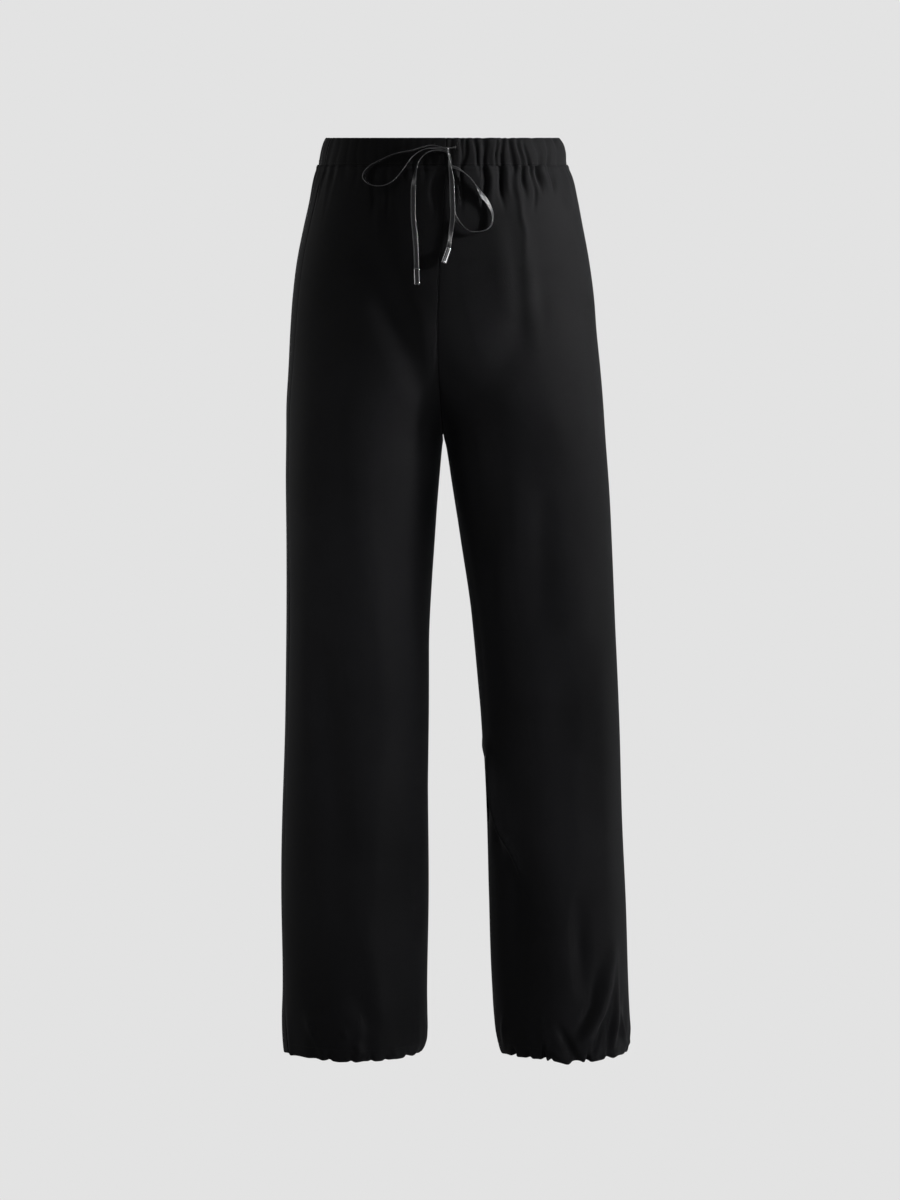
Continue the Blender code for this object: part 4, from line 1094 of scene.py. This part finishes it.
def leg_panel(name, side, face, material):
    """Half of a leg with its half of the seat, from the waist seam to the hem."""
    drops = row_drops()[:, None]
    across = np.linspace(0.0, 1.0, PANEL_COLUMNS + 1)[None, :]
    outer = leg_rows(side, face, drops, across)
    coarse = drops[::2]
    wall = CLOTH_WALL + (HEM_WALL - CLOTH_WALL) * ease(coarse, CASING_DROP - 1, CASING_DROP)
    inner = leg_rows(side, face, coarse, across[:, ::2], wall[..., None])
    return closed_wall(name, outer, inner, material)


def band_walls(side, face):
    """Outer and inner points of a quarter of the waistband."""
    drops = np.linspace(0.0, BAND_HEIGHT, BAND_ROWS + 1)[:, None]
    across = np.linspace(0.0, 1.0, BAND_COLUMNS + 1)[None, :]
    inner = band_rows(side, face, drops[::2], across[:, ::2], BAND_WALL)
    return band_rows(side, face, drops, across), inner


def back_walls():
    """The back of the waistband in one piece, from side seam to side seam."""
    joined = []
    for right, left in zip(band_walls(RIGHT, BACK), band_walls(LEFT, BACK)):
        shared = (right[:, -1:] + left[:, -1:]) / 2
        joined.append(np.concatenate((right[:, :-1], shared, left[:, -2::-1]), axis=1))
    return joined


def sewn(name, stitches, thick, material):
    """Round stitches that taper into the cloth, from (start, end, out)."""
    points = []
    faces = []
    turns = [2 * math.pi * at / STITCH_SIDES for at in range(STITCH_SIDES)]
    shape = tube_faces(len(STITCH_PROFILE), STITCH_SIDES)
    for start, end, out in stitches:
        faces += [[len(points) + index for index in face] for face in shape]
        beside = np.cross(end - start, out)
        beside = beside / np.linalg.norm(beside)
        for share, radius, height in STITCH_PROFILE:
            centre = start + (end - start) * share + out * (height * thick)
            for turn in turns:
                away = beside * math.cos(turn) + out * math.sin(turn)
                points.append(centre + away * (radius * thick / 2))
    return mesh_object(name, points, faces, material)


def stitches_along(lines):
    """Stitches along lines of (points, directions out)."""
    for line, out in lines:
        run = np.concatenate(([0.0], np.cumsum(np.linalg.norm(np.diff(line, axis=0), axis=1))))
        count = int(run[-1] / STITCH_PITCH)
        for place in np.arange(count) * (run[-1] / count):
            start, end = (
                np.array([np.interp(at, run, column) for column in line.T])
                for at in (place, place + STITCH_LENGTH)
            )
            yield start, end, np.array([np.interp(place, run, column) for column in out.T])


def row_line(rows, side, face, drop):
    """A row of the outside at one drop, with its directions out."""
    across = np.linspace(*STITCH_LINE)[None, :]
    drops = np.array([[drop]])
    out = outward(side, panel_turn(side, face, across, drops), drops)
    return rows(side, face, drops, across)[0], out[0]


def band_face(side, x, z):
    """Point on the gathered front of the waistband at an x and a z."""
    place = front_surface(x, z)
    drop = WAIST_TOP - z + waist_tilt(place[1], WAIST_TOP - z)
    relief = band_relief(side, FRONT, np.array(1.0), np.array(x), drop)
    return place + np.array((0.0, -float(relief), 0.0))


def buttonhole(side, x, z):
    """Stitches that close round the slot of a buttonhole in the waistband."""
    for at in range(BUTTONHOLE_STITCHES):
        turn = 2 * math.pi * at / BUTTONHOLE_STITCHES
        wide, high = BUTTONHOLE_HALF_WIDTH * math.cos(turn), BUTTONHOLE_HALF_HEIGHT * math.sin(turn)
        grown = 1.0 + BUTTONHOLE_STITCH / math.hypot(wide, high)
        end = band_face(side, x + wide * grown, z + high * grown)
        yield band_face(side, x + wide, z + high), end, np.array((0.0, -1.0, 0.0))


def seam_tape(name, centres, sideways, inwards, inset, material):
    """The allowance of a seam: a strip inside along it, as deep as inset."""
    layers = []
    for depth in (inset, inset + TAPE_THICKNESS):
        columns = [centres + sideways * offset + inwards * depth for offset in TAPE_OFFSETS]
        layers.append(np.stack(columns, axis=1))
    return take(closed_wall(name, *layers, material), "cloth")


def seam_height(relief, side, across, centres, drops):
    """Height of a seam, halfway between the relief of the front and of the back."""
    edge = np.array(across)
    return sum(relief(side, face, edge, centres[:, 0], drops) for face in (FRONT, BACK))[:, None] / 2


def side_tape(name, side, rows, relief, start, end, inset, material):
    """The tape inside a side seam."""
    drops = np.linspace(start, end, rows)
    seam = SIDE_SEAM_TURN[side]
    centres = outside(side, seam, drops)
    ahead = outside(side, seam + 0.01, drops) - outside(side, seam - 0.01, drops)
    sideways = ahead / np.linalg.norm(ahead, axis=-1, keepdims=True)
    depth = inset - seam_height(relief, side, 0.0, centres, drops)
    return seam_tape(name, centres, sideways, -outward(side, seam, drops), depth, material)


def inseam_tape(name, side, material):
    """The tape inside an inseam, from the crotch to the hem casing."""
    drops = np.linspace(CROTCH_DROP + 2.0, CASING_DROP, 120)
    centres = outside(side, FRONT * np.arccos(-cleft(drops)), drops)
    centres[:, 1] = 0.0
    depth = LEG_TAPE_INSET - seam_height(leg_relief, side, 1.0, centres, drops)
    return seam_tape(name, centres, FORTH, side * ACROSS, depth, material)


def rise_tape(name, material):
    """The tape inside the seam from the front of the waist under the seat to the back."""
    drops = np.linspace(BAND_HEIGHT + 1.0, CROTCH_DROP, 90)
    front, back = (outside(LEFT, face * np.arccos(-cleft(drops)), drops) for face in (FRONT, BACK))
    front[:, 0] = back[:, 0] = middle(drops)
    centres = np.concatenate((front, back[-2::-1]))
    inwards = np.cross(ACROSS, np.gradient(centres, axis=0))
    inwards = inwards / np.linalg.norm(inwards, axis=-1, keepdims=True)
    return seam_tape(name, centres, ACROSS, inwards, RISE_TAPE_INSET, material)


def front_band_tape(name, material):
    """The tape behind the centre front seam of the waistband."""
    drops = np.linspace(0.8, BAND_HEIGHT - 0.5, 16)
    centres = outside(LEFT, np.full(drops.shape, math.pi / 2), drops)
    centres[:, 0] = middle(drops)
    return seam_tape(name, centres, ACROSS, FORTH, BAND_FRONT_TAPE_INSET, material)


def waist_tape(name, side, face, material):
    """The tape inside a quarter of the seam between the waistband and a leg panel."""
    across = np.linspace(0.0, 1.0, 161)
    edge = np.array(BAND_HEIGHT)
    turn = panel_turn(side, face, across, edge)
    centres = outside(side, turn, edge)
    band = band_relief(side, face, across, centres[:, 0], edge)
    panel = leg_relief(side, face, across, centres[:, 0], edge + SEAM_GAP)
    depth = WAIST_TAPE_INSET - np.minimum(band, panel)[:, None]
    return seam_tape(name, centres, -UP, -outward(side, turn, edge), depth, material)


def make_stage():
    """Backdrop and floor of one pale tone, which only the camera sees."""
    material = bpy.data.materials.new("pale_stage")
    material.use_nodes = True
    nodes = material.node_tree.nodes
    nodes.remove(nodes["Principled BSDF"])
    glow = add_node(material, "ShaderNodeEmission", (PALE_TONE, PALE_TONE, PALE_TONE, 1.0), 1.0)
    material.node_tree.links.new(glow.outputs["Emission"], nodes["Material Output"].inputs["Surface"])
    bpy.ops.mesh.primitive_uv_sphere_add(segments=48, ring_count=24, radius=BACKDROP_RADIUS)
    backdrop = bpy.context.object
    backdrop.name = "backdrop"
    bpy.ops.mesh.primitive_circle_add(vertices=96, radius=FLOOR_RADIUS, fill_type="NGON")
    floor = bpy.context.object
    floor.name = "floor"
    floor.location.z = FLOOR_HEIGHT
    for made in (backdrop, floor):
        made.data.materials.append(material)
        made.visible_diffuse = False
        made.visible_glossy = False
        made.visible_transmission = False
        made.visible_shadow = False
        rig.stage(made)


def area_light(name, place, aim, size, power):
    """A soft rectangular light that looks at a point."""
    data = bpy.data.lights.new(name, "AREA")
    data.shape = "RECTANGLE"
    data.size, data.size_y = size
    data.energy = power
    made = bpy.data.objects.new(name, data)
    made.location = place
    made.rotation_mode = "QUATERNION"
    made.rotation_quaternion = (Vector(aim) - Vector(place)).to_track_quat("-Z", "Y")
    bpy.context.scene.collection.objects.link(made)
    return made


def make_lights():
    """Plain soft studio light: mostly from the wearer's left, with a thin rim on both sides."""
    for name, place, aim, size, power, spread, mirrored in LIGHT_ROWS:
        light = area_light(name, place, aim, size, power)
        light.data.spread = math.radians(spread)
        light.visible_glossy = mirrored
    for name, place, power in CARD_ROWS:
        area_light(name, place, CARD_AIM, CARD_SIZE, power).visible_diffuse = False
    world = bpy.data.worlds.new("studio_world")
    world.use_nodes = True
    direction = add_node(world, "ShaderNodeTexCoord").outputs["Generated"]
    depth = add_node(world, "ShaderNodeSeparateXYZ", direction).outputs["Y"]
    tone = add_node(world, "ShaderNodeMapRange", depth, *WORLD_RISE, WORLD_DARK, WORLD_TONE)
    background = world.node_tree.nodes["Background"]
    world.node_tree.links.new(tone.outputs["Result"], background.inputs["Strength"])
    background.inputs["Color"].default_value = (1.0, 1.0, 1.0, 1.0)
    bpy.context.scene.world = world


def make_camera():
    """The camera at the photograph's place."""
    data = bpy.data.cameras.new("camera")
    data.lens = CAMERA_LENS
    data.sensor_width = 36.0
    data.sensor_fit = "AUTO"
    made = bpy.data.objects.new("camera", data)
    made.location = CAMERA_PLACE
    made.rotation_euler = (math.radians(90), 0.0, 0.0)
    bpy.context.scene.collection.objects.link(made)
    bpy.context.scene.camera = made
    bpy.context.scene.view_settings.view_transform = "Standard"
    bpy.context.scene.view_settings.look = "None"


def take(piece, slot, *nodes):
    """Rides a piece on the trousers, names its finish and hides the plain solids it stands for."""
    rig.ride(piece, "root")
    if nodes:
        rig.replaces(piece, *nodes)
    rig.slot(piece, slot)
    return piece


make_camera()
# The cord's rolled edges take a lighter colour, which is a painted highlight
CLOTH, BAND, THREAD, CORD, CORD_EDGE_HIGHLIGHT, TIP = make_materials()

# The two free ends of the drawstring, with the knot and the tips
cords = []
for name, route, length, *turned in CORD_ROWS:
    piece, path, end, along = flat_cord("drawstring_" + name + "_end", route, CORD, CORD_EDGE_HIGHLIGHT)
    take(piece, "cord", "drawstring_" + name)
    tip = take(turned_tip("drawstring_" + name + "_tip", end, along, TIP, *turned), "tip", "tip_" + name)
    cords.append((piece, path, length, [tip]))
with_left_tip = cords[-1][-1]
with_left_tip.append(take(knot_wrap("drawstring_knot", CORD), "cord"))

make_stage()
make_lights()

# Cloth panels and waistband
panels = [
    take(leg_panel(name + "_cloth", side, face, CLOTH), "cloth", name) for name, side, face, *_ in PANEL_ROWS
]
walls = {
    "waistband_front_right": band_walls(RIGHT, FRONT),
    "waistband_front_left": band_walls(LEFT, FRONT),
    "waistband_back": back_walls(),
}
bands = {name: take(closed_wall(name + "_cloth", *pair, BAND), "cloth", name) for name, pair in walls.items()}

# Seam allowances, pressed open inside
rise_tape("rise_tape", CLOTH)
front_band_tape("waistband_front_tape", BAND)
leg_run = (leg_relief, BAND_HEIGHT + 1.0, CASING_DROP, LEG_TAPE_INSET, CLOTH)
band_run = (band_relief, 2.0, BAND_HEIGHT - 0.5, BAND_SIDE_TAPE_INSET, BAND)
for name, side in SIDES:
    side_tape("side_tape_" + name, side, 160, *leg_run)
    side_tape("waistband_side_tape_" + name, side, 16, *band_run)
    inseam_tape("inseam_tape_" + name, side, CLOTH)
for name, side, face, *_ in PANEL_ROWS:
    waist_tape("waist_tape_" + name, side, face, CLOTH)

# Stitches along the foot of the waistband, round the buttonholes and along both hem casings
lines = [row_line(band_rows, side, face, STITCH_DROP) for _, side, face, *_ in PANEL_ROWS]
take(sewn("waist_stitches", stitches_along(lines), STITCH_THICK, THREAD), "cloth")
for name, *place in BUTTONHOLES:
    take(sewn(name, buttonhole(*place), BUTTONHOLE_THICK, THREAD), "cloth")
for name, side in SIDES:
    lines = [row_line(leg_rows, side, face, CASING_DROP) for face in (FRONT, BACK)]
    take(sewn("hem_stitches_" + name, stitches_along(lines), STITCH_THICK, THREAD), "cloth")

# What is declared of the cloth and the cords
for panel, (*_, width, area) in zip(panels, PANEL_ROWS):
    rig.sheet(panel, flat=(width, PANEL_LENGTH), held="hung", area=area)
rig.sheet(bands["waistband_front_right"], flat=(0.235, 0.031), held="gathered")
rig.sheet(bands["waistband_front_left"], flat=(0.235, 0.031), held="gathered")
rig.sheet(bands["waistband_back"], flat=(0.47, 0.031), held="gathered")
for piece, path, length, with_pieces in cords:
    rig.cord(
        piece, exit=path[0], length=length, diameter=CORD_WIDTH * MILLIMETRE, far_end="fitting",
        stiffness="limp", lay="hanging", path=path, with_pieces=with_pieces,
    )

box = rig.bounds()
with open("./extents.json", "w") as out:
    json.dump({"cad": [list(corner) for corner in CAD_BOX], "visual": [list(corner) for corner in box]}, out)
